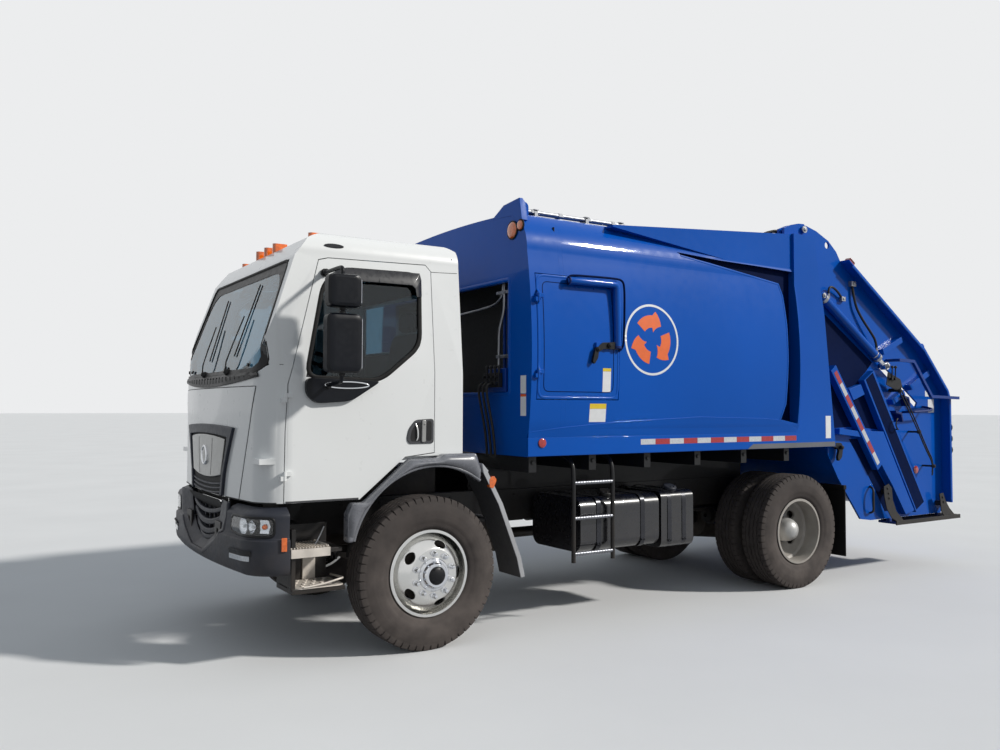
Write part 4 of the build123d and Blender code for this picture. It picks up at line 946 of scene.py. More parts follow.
def make_screen():
    """Black border printed on the windscreen, its rubber seal and the washer jets."""
    outer = dense(drawn_in(rounded(screen_outline, 0.07), 0.004), 0.05)
    inner = dense(drawn_in(rounded(screen_outline, 0.20), 0.055), 0.05)
    steps = 120
    rows = [[screen_spot(*point_round(line, step / steps), 0.0015) for step in range(steps + 1)]
        for line in (outer, inner)]
    piece("screen_border", formed(sheet_into, rows, 0.0015), black_plastic, "cab", 0)
    spots = [screen_spot(*point, 0.006) for point in outer]
    piece("screen_seal", formed(ribbon_into, spots, round_section(0.010, 0.006)), rubber, "cab", 0)
    bm = bmesh.new()
    for side in (1, -1):
        for y, z in ((0.30, 1.93), (0.80, 1.935)):
            place, normal = screen_spot(side * y - 0.35 * (y < 0.5 and side < 0), z, 0.004)
            bar_into(bm, place, place + normal * 0.012, 0.012)
    piece("washer_jets", bm, black_plastic, "cab", 0.001)


def make_cowl():
    """Black scuttle under the windscreen, drooping in the middle, with the wipers on their spindles."""
    bm = bmesh.new()
    rows = []
    for share in (0.0, 0.25, 0.5, 0.75, 1.0):
        row = []
        for step in range(49):
            y = -0.945 + 1.89 * step / 48
            low = 1.800 + 0.055 * (y / 0.945) ** 2
            z = low + (1.905 - low) * share
            row.append(cab_front(y, min(z, 1.87), 0.004 + 0.004 * sin(pi * share)) if z < 1.872
                else screen_spot(y * 0.985, max(z, 1.885), 0.004))
        rows.append(row)
    sheet_into(bm, rows, 0.006)
    for slot in range(22):
        y = -0.84 + 1.68 * slot / 21
        low = 1.812 + 0.050 * (y / 0.945) ** 2
        ribbon_into(bm, [cab_front(y, low + 0.012, 0.012), cab_front(y, 1.866, 0.012)],
            flat_section(0.008, 0.004), closed=False)
    piece("cowl", bm, black_plastic, "cab", 0.0015)
    wipers = (
        # foot y and z, then tip y and z
        (0.40, 1.875, 0.405, 2.50), (-0.22, 1.875, -0.36, 2.46),
    )
    for number, (foot_y, foot_z, tip_y, tip_z) in enumerate(wipers):
        bm = bmesh.new()
        place, normal = screen_spot(foot_y, foot_z + 0.02, 0.0)
        lathe_into(bm, [(0, 0.024), (0.018, 0.024), (0.030, 0.017), (0.040, 0.014), (0.042, 0.0)], place,
            normal, 24, closed=False)
        arm = []
        for share, rise in ((0.02, 0.034), (0.10, 0.046), (0.30, 0.044), (0.62, 0.036)):
            y = foot_y + (tip_y - foot_y) * share
            z = foot_z + (tip_z - foot_z) * share + 0.02
            arm.append(screen_spot(y, z, rise))
        ribbon_into(bm, arm, ((-0.0050, -0.004), (-0.0036, 0.004), (0.0036, 0.004),
            (0.0050, -0.004)), closed=False)
        blade = []
        for step in range(9):
            share = 0.18 + 0.82 * step / 8
            y = foot_y + (tip_y - foot_y) * share + 0.012
            z = foot_z + (tip_z - foot_z) * share + 0.02
            blade.append(screen_spot(y, z, 0.008))
        ribbon_into(bm, blade, ((-0.0015, -0.004), (-0.0035, 0.002), (-0.002, 0.005), (0.002, 0.005),
            (0.0035, 0.002), (0.0015, -0.004)), closed=False)
        piece(f"wiper_{number + 1}", bm, black_plastic, "cab", 0)


frame_outer = ((0.607, 1.520), (0.520, 1.360), (0.448, 1.207), (0.412, 1.050))
frame_inner = ((0.505, 1.455), (0.462, 1.330), (0.405, 1.200), (0.372, 1.050))
silver_top, silver_low = (0.452, 1.440, 0.024), (0.372, 1.192, 0.030)


def silver_spot(across, up, proud):
    """Spot on the silver panel: across from -1 to 1, up from 0 to 1."""
    half = silver_low[0] + (silver_top[0] - silver_low[0]) * up
    low = silver_low[1] - silver_low[2] * (1 - across ** 2)
    high = silver_top[1] + silver_top[2] * (1 - across ** 2)
    return cab_front(across * half, low + (high - low) * up, proud)


def make_nose():
    """White hood panel and seams, a dark grille frame round a silver panel, plain boss and slats."""
    rows = []
    low, high, low_half, high_half = 1.052, 1.792, 0.680, 0.915
    for step in range(25):
        z = low + (high - low) * step / 24
        half = low_half + (high_half - low_half) * (z - low) / 0.740
        rows.append([cab_front(half * (column / 20 - 1), z) for column in range(41)])
    piece("hood_panel", formed(sheet_into, rows, 0.004), white, "cab", 0.002)
    bm = bmesh.new()
    edge = [(0.680, 1.050), (0.917, 1.794), (-0.917, 1.794), (-0.680, 1.050)]
    ribbon_into(bm, [cab_front(*point, 0.0008) for point in dense(edge, 0.04, closed=False)],
        flat_section(0.004, 0.0008), closed=False)
    for side in (1, -1):
        line = [cab_side(x, 1.932, side, 0.0005) for x in (0.990, 1.010, 1.030)]
        ribbon_into(bm, line, flat_section(0.002, 0.0008), closed=False)
        line = [cab_side(x, z, side, 0.0005) for x, z in ((-0.086, 2.628), (-0.16, 2.630), (-0.298, 2.636))]
        ribbon_into(bm, line, flat_section(0.002, 0.0008), closed=False)
    piece("cab_seams", bm, groove_dark, "cab", 0)
    count = 40
    rows = []
    for line in (frame_outer, frame_inner):
        top_y, top_z = line[0]
        left = [line_at(line, 1 - step / 24) for step in range(25)]
        top = [(top_y * (1 - 2 * step / count), top_z + 0.018 * (1 - (1 - 2 * step / count) ** 2))
            for step in range(1, count)]
        right = [(-y, z) for y, z in left[::-1]]
        rows.append([cab_front(y, z, 0.004) for y, z in left + top + right])
    bm = formed(sheet_into, rows, 0.022)
    piece("grille_frame_upper", bm, grey_plastic, "cab", 0.006, segments=3,
        replaced=["front_panel"])
    rows = []
    # Sheet behind the grille frame, near black as painted shade
    for step in range(21):
        z = 1.050 + 0.430 * step / 20
        half = line_at_height(frame_inner, z) + 0.006
        rows.append([cab_front(half * (column / 16 - 1), z, 0.0045) for column in range(33)])
    piece("grille_back_upper", formed(sheet_into, rows, 0.002), painted_shade_black, "cab", 0)
    rows = [[silver_spot(-1 + column / 16, row / 8, 0.012) for column in range(33)] for row in range(9)]
    piece("grille_silver_panel", formed(sheet_into, rows, 0.008), silver, "cab", 0.004, segments=3)
    bm = bmesh.new()
    for side in (1, -1):
        line = [cab_front(side * y, z, 0.0205) for y, z in ((0.186, 1.440), (0.178, 1.330), (0.150, 1.178))]
        ribbon_into(bm, line, flat_section(0.002, 0.0008), closed=False)
    piece("grille_panel_seams", bm, groove_dark, "cab", 0)
    place, normal = cab_front(0, 1.314, 0.018)
    piece("grille_boss_ring", formed(lathe_into, [(0, 0.072), (0.010, 0.072), (0.016, 0.066),
        (0.016, 0.058), (0.010, 0.054), (0, 0.054)], place, normal, 48), chrome, "cab", 0)
    piece("grille_boss", formed(lathe_into, [(0, 0.056), (0.008, 0.056), (0.012, 0.040), (0.013, 0.0)],
        place, normal, 48, closed=False), silver, "cab", 0)
    bm = bmesh.new()
    for z in (1.135, 1.105, 1.075):
        half = line_at_height(frame_inner, z) - 0.004
        line = [cab_front(half * (step / 12 - 1),
            z - 0.020 * (1 - (step / 12 - 1) ** 2), 0.010) for step in range(25)]
        ribbon_into(bm, line, round_section(0.007, 0.008), closed=False)
    piece("grille_slats_upper", bm, grey_plastic, "cab", 0)


def line_at(line, share):
    """Point at a share of the way along an open line, by its legs."""
    place = share * (len(line) - 1)
    index = min(int(place), len(line) - 2)
    part = place - index
    return tuple(a + (b - a) * part for a, b in zip(line[index], line[index + 1]))


def line_at_height(line, z):
    """Half width of a line of (half width, height) points at a height."""
    for (y1, z1), (y2, z2) in zip(line, line[1:]):
        if min(z1, z2) <= z <= max(z1, z2):
            return y1 + (y2 - y1) * (z - z1) / (z2 - z1)
    return line[0][0] if abs(z - line[0][1]) < abs(z - line[-1][1]) else line[-1][0]


# Bumper: rows of (height, how far it stands out of the driving form)

bumper_rows = ((0.592, -0.040), (0.600, -0.022), (0.620, -0.010), (0.645, -0.004), (0.680, -0.001),
    (0.735, 0.0), (0.800, 0.0), (0.818, -0.002), (0.828, -0.018), (0.845, -0.020), (0.875, -0.019),
    (0.915, -0.018), (0.958, -0.017), (0.972, -0.016), (0.984, -0.022), (1.004, -0.050), (1.022, -0.090))
u_opening = ((0.640, 1.030), (0.625, 0.937), (0.560, 0.834), (0.430, 0.745), (0.270, 0.682), (0.150, 0.645))
u_throat = ((0.415, 1.030), (0.400, 0.960), (0.345, 0.850), (0.235, 0.765), (0.130, 0.725), (0.075, 0.712))
lamp_from, lamp_to, lamp_low, lamp_high = 0.715, 1.160, 0.845, 0.958
throat_x = 1.212


def bumper_columns(z):
    """Distances along the bumper at a height, from the middle to the left end."""
    edge = line_at_height(u_opening, max(z, 0.645))
    made = [edge * share for share in (0.0, 0.33, 0.66, 1.0)]
    made += [edge + (lamp_from - edge) * step / 5 for step in range(1, 6)]
    made += [lamp_from + (lamp_to - lamp_from) * step / 12 for step in range(1, 13)]
    return made + [1.185, 1.21, 1.235, 1.257, 1.268]


def thicken(obj, thickness, offset):
    """Gives an open surface a wall, before its other modifiers."""
    wall = obj.modifiers.new("wall", "SOLIDIFY")
    wall.thickness = thickness
    wall.offset = offset
    obj.modifiers.move(len(obj.modifiers) - 1, 0)


def make_bumper():
    """Shell with lamp openings, cheeks, lip, bars and core of the lower grille, and the bumper's arms."""
    bm = bmesh.new()
    grid = []
    for z, proud in bumper_rows:
        half = bumper_columns(z)
        line = [-s for s in half[:0:-1]] + half
        grid.append([bm.verts.new(plan_spot(bumper_plan, s, z, proud)[0]) for s in line])
    middle = len(bumper_columns(1.0)) - 1
    for row in range(len(bumper_rows) - 1):
        low, high = bumper_rows[row][0], bumper_rows[row + 1][0]
        for column in range(2 * middle):
            from_middle = min(abs(column - middle), abs(column + 1 - middle))
            if from_middle < 3 and low >= 0.644:
                continue
            if 8 <= from_middle < 20 and low >= lamp_low - 0.001 and high <= lamp_high + 0.001:
                continue
            bm.faces.new((grid[row][column], grid[row][column + 1], grid[row + 1][column + 1],
                grid[row + 1][column]))
    shell = piece("bumper_shell", bm, grey_plastic, "chassis", 0, 40,
        replaced=["bumper"])
    thicken(shell, 0.012, -1)
    rounding = shell.modifiers.new("bevel", "BEVEL")
    rounding.width = 0.003
    rounding.segments = 2
    rounding.limit_method = "ANGLE"
    rounding.angle_limit = radians(40)
    shell.modifiers.move(len(shell.modifiers) - 1, 1)
    # Cheeks from the opening's edge back to the throat
    bm = bmesh.new()
    steps = 30
    rows = []
    for number in range(5):
        share = number / 4
        row = []
        for step in range(steps + 1):
            outer = line_at(u_opening, step / steps)
            inner = line_at(u_throat, step / steps)
            y = outer[0] + (inner[0] - outer[0]) * share
            z = outer[1] + (inner[1] - outer[1]) * share
            start = plan_spot(bumper_plan, outer[0], outer[1], -0.004 - 0.014 * (outer[1] > 0.82))[0].x
            x = start + (at(throat_x) - start) * (share ** 0.8)
            row.append(Vector((x, y, z)))
        rows.append(row + [Vector((p.x, -p.y, p.z)) for p in row[::-1]])
    points = [[bm.verts.new(p) for p in row] for row in rows]
    for first, second in zip(points, points[1:]):
        band_into(bm, first, second, closed=False)
    thicken(piece("bumper_cheeks", bm, grey_plastic, "chassis", 0, 40), 0.008, 0)
    # Lip round the opening, curved bars across the throat and the core behind, painted in shade
    lip = [line_at(u_opening, step / 40) for step in range(41)]
    lip = lip + [(-y, z) for y, z in lip[::-1]]
    spots = [plan_spot(bumper_plan, y, z, -0.004 if z < 0.82 else -0.020) for y, z in lip]
    piece("bumper_opening_lip", formed(ribbon_into, spots, round_section(0.016, 0.004, sink=0.012),
        closed=False), grey_plastic, "chassis", 0)
    bm = bmesh.new()
    bars = (
        # height at the ends, half width, droop, half height
        (0.966, 0.405, 0.050, 0.016), (0.900, 0.372, 0.062, 0.021), (0.828, 0.315, 0.058, 0.020),
        (0.766, 0.225, 0.038, 0.016),
    )
    for end_z, half, droop, thick in bars:
        line = []
        for step in range(33):
            share = step / 16 - 1
            place = Vector((at(throat_x - 0.020 * share ** 2), half * share,
                end_z - droop * (1 - share ** 2)))
            line.append((place, Vector((1, 0, 0))))
        deep = -0.010 if end_z > 0.95 else -0.035
        ribbon_into(bm, line, ((-thick, deep), (-thick, 0.004), (-thick * 0.7, 0.010), (thick * 0.7, 0.010),
            (thick, 0.004), (thick, deep)), closed=False)
    for y in (-0.125, 0.0, 0.125):
        box_into(bm, (at(throat_x - 0.040), at(throat_x - 0.022)), (y - 0.008, y + 0.008), (0.700, 0.945))
    piece("bumper_grille_bars", bm, grey_plastic, "chassis", 0.003)
    bm = bmesh.new()
    core = [(line_at_height(u_throat, z) + 0.01, z) for z in (0.700, 0.760, 0.820, 0.860, 0.900)]
    core += [(-y, z) for y, z in core[::-1]]
    prism_into(bm, core, at(1.120), at(1.128), "yz")
    for row in range(8):
        z = 0.725 + 0.024 * row
        half = line_at_height(u_throat, z) - 0.01
        box_into(bm, (at(1.130), at(1.142)), (-half, half), (z - 0.003, z + 0.003))
    # Above the flat part it curves ahead of the tilting cab's lower edge
    cab_pin_x, cab_pin_z, cab_sweep = 0.900, 1.200, 0.377
    rows = []
    for z in (0.896, 0.912, 0.930, 0.955, 0.980, 1.005, 1.028):
        x = cab_pin_x + sqrt(cab_sweep ** 2 - (cab_pin_z - z) ** 2)
        half = line_at_height(u_throat, z) + 0.01
        rows.append([(Vector((at(x), half * share, z)), Vector((1, 0, 0)))
            for share in (-1, -0.5, 0, 0.5, 1)])
    sheet_into(bm, rows, 0.002)
    piece("bumper_grille_core", bm, painted_shade_black, "chassis", 0)
    piece("nose_seal", formed(box_into, (at(1.170), at(1.176)), (-0.42, 0.42),
        (1.006, 1.070)), rubber, "cab", 0.002)
    # Arms that carry the bumper on the rails
    bm = bmesh.new()
    for side in (1, -1):
        low, high = span(side, 0.382, 0.428)
        box_into(bm, (at(0.936), at(1.240)), (low, high), (0.742, 0.838))
        box_into(bm, (at(1.222), at(1.240)), (low - 0.05, high + 0.05), (0.700, 0.880))
    piece("bumper_arms", bm, black_metal, "chassis", 0.004)


def lamp_spot(s, z, proud):
    """Spot on the bumper's form."""
    return plan_spot(bumper_plan, s, z, proud)


def lamp_grid(side, start, width, low, height, columns, rows, proud, rise=0.0):
    """Grid of spots on the bumper's form, standing out by a function of the row."""
    return [[lamp_spot(side * (start + width * column / columns),
        low + height * row / rows + rise * (column / columns), proud(row)) for column in range(columns + 1)]
        for row in range(rows + 1)]


def make_headlamps(name, side):
    """A deep dark bowl with round reflectors, turn lamp, clear cover, day lamp and corner marker."""
    outline = rounded(((lamp_from - 0.004, lamp_low + 0.012), (lamp_from + 0.01, lamp_high + 0.002),
        (lamp_to + 0.004, lamp_high + 0.002), (lamp_to + 0.004, lamp_low - 0.002),
        (lamp_from + 0.09, lamp_low - 0.002)), 0.035)
    bm = formed(ribbon_into, [lamp_spot(side * s, z, -0.018) for s, z in dense(outline, 0.02)],
        round_section(0.009, 0.006, sink=0.02))
    piece(f"headlamp_rim_{name}", bm, black_plastic, "chassis", 0)
    columns = 18
    rows = []
    for row in range(7):
        z = lamp_low + (lamp_high - lamp_low) * row / 6
        rows.append([lamp_spot(side * (lamp_from + (lamp_to - lamp_from) * column / columns), z,
            -0.022 - 0.055 * sin(pi * row / 6) ** 0.5 * min(1, 6 * column / columns,
            6 - 6 * column / columns)) for column in range(columns + 1)])
    piece(f"headlamp_bowl_{name}", formed(sheet_into, rows, 0.003), black_plastic, "chassis", 0)
    bm = bmesh.new()
    for s, radius in ((0.900, 0.050), (1.010, 0.040)):
        place = lamp_spot(side * s, 0.902, -0.062)[0]
        lathe_into(bm, [(0.0, 0.004), (0.004, radius * 0.45), (0.018, radius * 0.78), (0.036, radius),
            (0.039, radius), (0.039, radius + 0.003), (0.0, radius * 0.6)], place,
            (0.98, 0.16 * side, 0), 40)
    sheet_into(bm, lamp_grid(side, 0.745, 0.09, 0.868, 0.075, 6, 4,
        lambda row: -0.045 - 0.008 * (row % 2)), 0.003)
    sheet_into(bm, lamp_grid(side, 1.055, 0.085, 0.862, 0.085, 6, 4,
        lambda row: -0.040 - 0.006 * (row % 2)), 0.003)
    piece(f"headlamp_reflectors_{name}", bm, chrome, "chassis", 0)
    bm = bmesh.new()
    for s, radius in ((0.900, 0.013), (1.010, 0.011)):
        place = lamp_spot(side * s, 0.902, -0.045)[0]
        lathe_into(bm, [(0.0, radius), (0.016, radius), (0.024, radius * 0.7), (0.027, 0.0)], place,
            (0.98, 0.16 * side, 0), 24, closed=False)
    piece(f"headlamp_bulbs_{name}", bm, bright_lens, "chassis", 0)
    place = lamp_spot(side * 1.095, 0.904, -0.032)[0]
    piece(f"headlamp_turn_bulb_{name}", formed(ball_into, place, 0.018), amber, "chassis", 0)
    bm = formed(sheet_into, lamp_grid(side, lamp_from, lamp_to - lamp_from, lamp_low, lamp_high - lamp_low,
        columns, 4, lambda row: -0.018 + 0.004 * sin(pi * row / 4)), 0.001)
    piece(f"headlamp_cover_{name}", bm, lens, "chassis", 0, replaced=["headlamps"] if side > 0 else ())
    # Day lamp slit in the lower section, and the corner marker
    bm = formed(sheet_into, lamp_grid(side, 0.735, 0.265, 0.682, 0.032, 12, 2,
        lambda row: 0.0015, 0.006), 0.004)
    piece(f"day_lamp_{name}", bm, bright_lens, "chassis", 0.002)
    bm = formed(sheet_into, lamp_grid(side, 0.725, 0.29, 0.714, 0.036, 12, 2,
        lambda row: 0.0005 + 0.010 * (row == 2), 0.006), 0.003)
    piece(f"day_lamp_brow_{name}", bm, black_plastic, "chassis", 0.002)
    bm = formed(sheet_into, lamp_grid(side, 1.208, 0.034, 0.752, 0.086, 3, 5, lambda row: 0.0025), 0.010)
    piece(f"corner_marker_{name}", bm, amber, "chassis", 0.003)


def window_trim(name, side):
    """Seal, rain guard, wiper strip and inner grip bar of a door's window."""
    body = f"door_{name}"
    outline = dense(rounded(window_outline, 0.09), 0.03)
    piece(f"window_seal_{name}", formed(ribbon_into, [cab_side(x, z, side, -0.001) for x, z in outline],
        round_section(0.016, 0.006, sink=0.008)), rubber, body, 0)
    bm = bmesh.new()
    top = ((0.660, 2.560), (0.600, 2.598), (0.300, 2.604), (0.012, 2.608), (0.000, 2.560), (0.002, 2.440))
    low = ((0.650, 2.490), (0.585, 2.508), (0.300, 2.512), (0.085, 2.512), (0.060, 2.490), (0.052, 2.430))
    rows = []
    for line, proud in ((top, 0.007), (low, 0.030)):
        rows.append([cab_side(*line_at(line, step / 30), side, proud) for step in range(31)])
    middle = [[(first[0].lerp(second[0], 0.5) + first[1] * 0.008, first[1]) for first, second in zip(*rows)]]
    sheet_into(bm, [rows[0]] + middle + [rows[1]], 0.003)
    ribbon_into(bm, [cab_side(0.335, 2.600, side, 0.012), cab_side(0.335, 2.515, side, 0.034)],
        flat_section(0.003, 0.003), closed=False)
    piece(f"rain_guard_{name}", bm, smoke, body, 0.001)
    bm = formed(ribbon_into, [cab_side(x, z, side, -0.012)
        for x, z in dense(((0.852, 1.861), (0.345, 1.846)), 0.05, closed=False)],
        flat_section(0.010, 0.012), closed=False)
    piece(f"window_wiper_strip_{name}", bm, guard_grey, body, 0.001)
    pipe(f"pillar_grip_{name}", run(side, (0.800, 0.975, 2.140), (0.782, 0.950, 2.118),
        (0.770, 0.945, 2.060), (0.776, 0.945, 1.960), (0.790, 0.960, 1.880)), 0.009, trim_grey, "cab")


mirror_x, mirror_y = 0.722, 1.325


def make_mirror(name, side):
    """Two rounded heads on a tube frame, their glass, and the black pod with a bright ring."""
    body = f"door_{name}"
    heads = (
        # low and high Z, half width along X
        (1.875, 2.250, 0.118), (2.290, 2.500, 0.112),
    )
    head_y = 1.340
    bm = bmesh.new()
    for low, high, half in heads:
        rings = []
        for depth, shrink in ((-0.062, 0.88), (-0.050, 1.0), (0.030, 1.0), (0.052, 0.90), (0.066, 0.62)):
            ring = []
            for x, z in rounded(((-half, low), (-half, high), (half, high), (half, low)), 0.045, 6):
                centre_z = (low + high) / 2
                ring.append(bm.verts.new((at(mirror_x + x * shrink), side * (head_y + depth * 0.8),
                    centre_z + (z - centre_z) * (1 - (1 - shrink) * 0.6))))
            rings.append(ring)
        for first, second in zip(rings, rings[1:]):
            band_into(bm, first, second)
        bm.faces.new(rings[0][::-1])
        bm.faces.new(rings[-1])
    piece(f"mirror_heads_{name}", bm, mirror_black, body, 0.004,
        replaced=[f"mirrors_{name}"])
    bm = bmesh.new()
    for low, high, half in heads:
        box_into(bm, (at(mirror_x - half - 0.003), at(mirror_x - half + 0.004)),
            span(side, head_y - 0.036, head_y + 0.026), (low + 0.030, high - 0.030))
    piece(f"mirror_glass_{name}", bm, chrome, body, 0.003)
    post = ((1.092, 1.805), (1.170, 1.812), (1.300, 1.815), (mirror_y, 1.840), (mirror_y, 2.100),
        (mirror_y, 2.500), (1.318, 2.546), (1.280, 2.552), (1.150, 2.552), (1.000, 2.552))
    pipe(f"mirror_post_{name}", run(side, *((mirror_x, y, z) for y, z in post)), 0.013, mirror_black, body)
    bm = bmesh.new()
    for z in (1.800, 2.552):
        place, normal = cab_side(mirror_x, z, side)
        bar_into(bm, place - normal * 0.004, place + normal * 0.020, 0.026)
        bar_into(bm, place + normal * 0.018, place + normal * 0.050, 0.019)
    for z in (1.870, 2.256, 2.284):
        bar_into(bm, *run(side, (mirror_x, mirror_y, z - 0.012), (mirror_x, mirror_y, z + 0.012)), 0.020)
    piece(f"mirror_mounts_{name}", bm, black_plastic, body, 0.002)
    pod = rounded(((0.872, 1.852), (0.340, 1.838), (0.560, 1.700), (0.800, 1.684), (0.868, 1.740)), 0.05)
    piece(f"mirror_pod_{name}", formed(prism_into, placed(pod), *span(side, 1.058, 1.096)), mirror_black,
        body, 0.012, segments=3)
    ring = []
    for step in range(14):
        turn = 2 * pi * step / 14
        ring.append((at(0.592 + 0.158 * cos(turn)), side * (1.100 - 0.002 * cos(turn)),
            1.806 + 0.022 * sin(turn)))
    pipe(f"mirror_pod_ring_{name}", ring, 0.005, chrome, body, order=4, closed=True)


def make_handle(name, side):
    """Door handle: plate, its pockets painted in shade, the pull and a lever."""
    body = f"door_{name}"
    outline = rounded(((-0.074, 1.582), (-0.074, 1.408), (0.118, 1.408), (0.136, 1.440), (0.122, 1.510),
        (0.070, 1.574)), 0.025)
    piece(f"handle_plate_{name}", formed(prism_into, placed(outline), *span(side, 1.0585, 1.0680)),
        guard_grey, body, 0.003, segments=3)
    bm = bmesh.new()
    # Pockets: flat near black patches, painted shade for recessed pockets
    pockets = (((-0.056, 1.566), (-0.056, 1.426), (-0.014, 1.426), (-0.014, 1.566)),
        ((0.030, 1.560), (0.030, 1.424), (0.102, 1.424), (0.110, 1.450), (0.098, 1.505), (0.064, 1.552)))
    for line in pockets:
        prism_into(bm, placed(rounded(line, 0.02)), *span(side, 1.0600, 1.0690))
    piece(f"handle_pockets_{name}", bm, painted_shade_black, body, 0.001)
    bm = bmesh.new()
    prism_into(bm, placed(rounded(((-0.010, 1.572), (-0.006, 1.418), (0.026, 1.418), (0.022, 1.572)),
        0.012)), *span(side, 1.0640, 1.0790))
    bar_into(bm, (at(0.005), side * 1.060, 1.545), (at(0.005), side * 1.083, 1.545), 0.008)
    piece(f"handle_pull_{name}", bm, silver, body, 0.004, segments=3)
    pipe(f"handle_lever_{name}", run(side, (0.070, 1.068, 1.545), (0.060, 1.078, 1.520),
        (0.056, 1.080, 1.480), (0.056, 1.078, 1.445), (0.060, 1.068, 1.432)), 0.006, polished, body)


def make_cab_side(name, side):
    """Window, mirror, handle, roof vent and door trim of one side of the cab."""
    window_trim(name, side)
    make_mirror(name, side)
    make_handle(name, side)
    outline = [(0.646 + 0.070 * cos(2 * pi * k / 28),
        2.743 + 0.015 * sin(2 * pi * k / 28)) for k in range(28)]
    piece(f"roof_side_vent_{name}", formed(prism_into, placed(outline),
        *span(side, 0.955, 0.985)), smoke, "cab", 0.004)
    # Lower edge trim of the door
    bm = formed(ribbon_into, [cab_side(x, 1.052, side, 0.0005) for x in (0.985, 0.80, 0.60, 0.490)],
        flat_section(0.007, 0.004), closed=False)
    piece(f"door_sill_trim_{name}", bm, guard_grey, f"door_{name}", 0.001)


def make_cab_sides():
    """Windows, mirrors, handles, roof vents and low trims of the cab."""
    both_sides(make_cab_side)
    bm = bmesh.new()
    for side in (1, -1):
        ribbon_into(bm, [plan_spot(cab_plan, side * s, 1.048, 0.0005)
            for s in dense_line(0.44, 1.08, 0.05)], flat_section(0.004, 0.002), closed=False)
    piece("nose_lower_trim", bm, groove_dark, "cab", 0)


def dense_line(start, end, spacing):
    """Even steps from start to end, about a spacing apart."""
    count = max(1, round(abs(end - start) / spacing))
    return [start + (end - start) * step / count for step in range(count + 1)]


def make_steps(name, side):
    """Aluminium treads: slanted ribs on the upper step, raised drain rings on the lower one, with painted shade
    in their holes.
    """
    bm = bmesh.new()
    box_into(bm, (at(0.700), at(0.962)), span(side, 0.812, 1.104), (0.7505, 0.756))
    box_into(bm, (at(0.700), at(0.962)), span(side, 1.090, 1.106), (0.700, 0.756))
    for rib in range(13):
        x = 0.712 + rib * 0.0195
        start = Vector((at(x), side * 0.830, 0.7585))
        end = Vector((at(x + 0.030), side * 1.096, 0.7585))
        line = [(start, Vector((0, 0, 1))), (end, Vector((0, 0, 1)))]
        ribbon_into(bm, line, flat_section(0.0045, 0.007), closed=False)
    for tooth in range(11):
        y = 0.835 + tooth * 0.024
        prism_into(bm, ((at(0.700), 0.7565), (at(0.718), 0.7565), (at(0.709), 0.772)),
            *span(side, y, y + 0.012))
    piece(f"step_tread_upper_{name}", bm, tread_metal, "chassis", 0.001)
    bm = bmesh.new()
    outline = rounded(((0.598, 0.815), (0.598, 1.085), (0.640, 1.108), (0.905, 1.108),
        (0.955, 1.050), (0.955, 0.815)), 0.02)
    prism_into(bm, [(at(x), side * y) for x, y in outline], 0.5005, 0.508, "xy")
    drains = [(0.650 + row * 0.062 + 0.031 * (column % 2), 0.860 + column * 0.062) for row in range(5)
        for column in range(4)]
    drains = [(x, y) for x, y in drains if x < 0.930]
    for x, y in drains:
        lathe_into(bm, [(0.0, 0.015), (0.006, 0.013), (0.006, 0.009), (0.0, 0.009)],
            (at(x), side * y, 0.508), (0, 0, 1), 16)
    piece(f"step_tread_lower_{name}", bm, tread_metal, "chassis", 0.001)
    # Dark discs in the drain rings: painted shade for the holes
    bm = bmesh.new()
    for x, y in drains:
        bar_into(bm, (at(x), side * y, 0.507), (at(x), side * y, 0.5087), 0.0088, 14)
    piece(f"step_drain_holes_{name}", bm, painted_shade_black, "chassis", 0)
    pipe(f"step_edge_bar_{name}", run(side, (0.602, 0.86, 0.532), (0.596, 1.00, 0.540),
        (0.600, 1.085, 0.545), (0.640, 1.108, 0.545), (0.760, 1.110, 0.520), (0.880, 1.108, 0.512)), 0.007,
        tread_metal, "chassis")
    pipe(f"step_stay_{name}", run(side, (0.760, 0.98, 0.758), (0.730, 0.98, 0.800), (0.690, 0.96, 0.870)),
        0.006, steel, "chassis")
    piece(f"step_hanger_{name}", formed(box_into, (at(0.700), at(0.790)), span(side, 0.82, 0.834),
        (0.508, 0.700)), tread_metal, "chassis", 0.003)


arch_x, arch_z, lip_radius = -0.045, 0.640, 0.617
arch_middle = Vector((at(arch_x), 0, arch_z))
arch_skin = Skin("fender_arches")
guard_line = ((-0.430, 1.195), (-0.492, 1.082), (-0.560, 0.960), (-0.640, 0.760),
    (-0.720, 0.560), (-0.755, 0.415))
guard_edge = 0.036


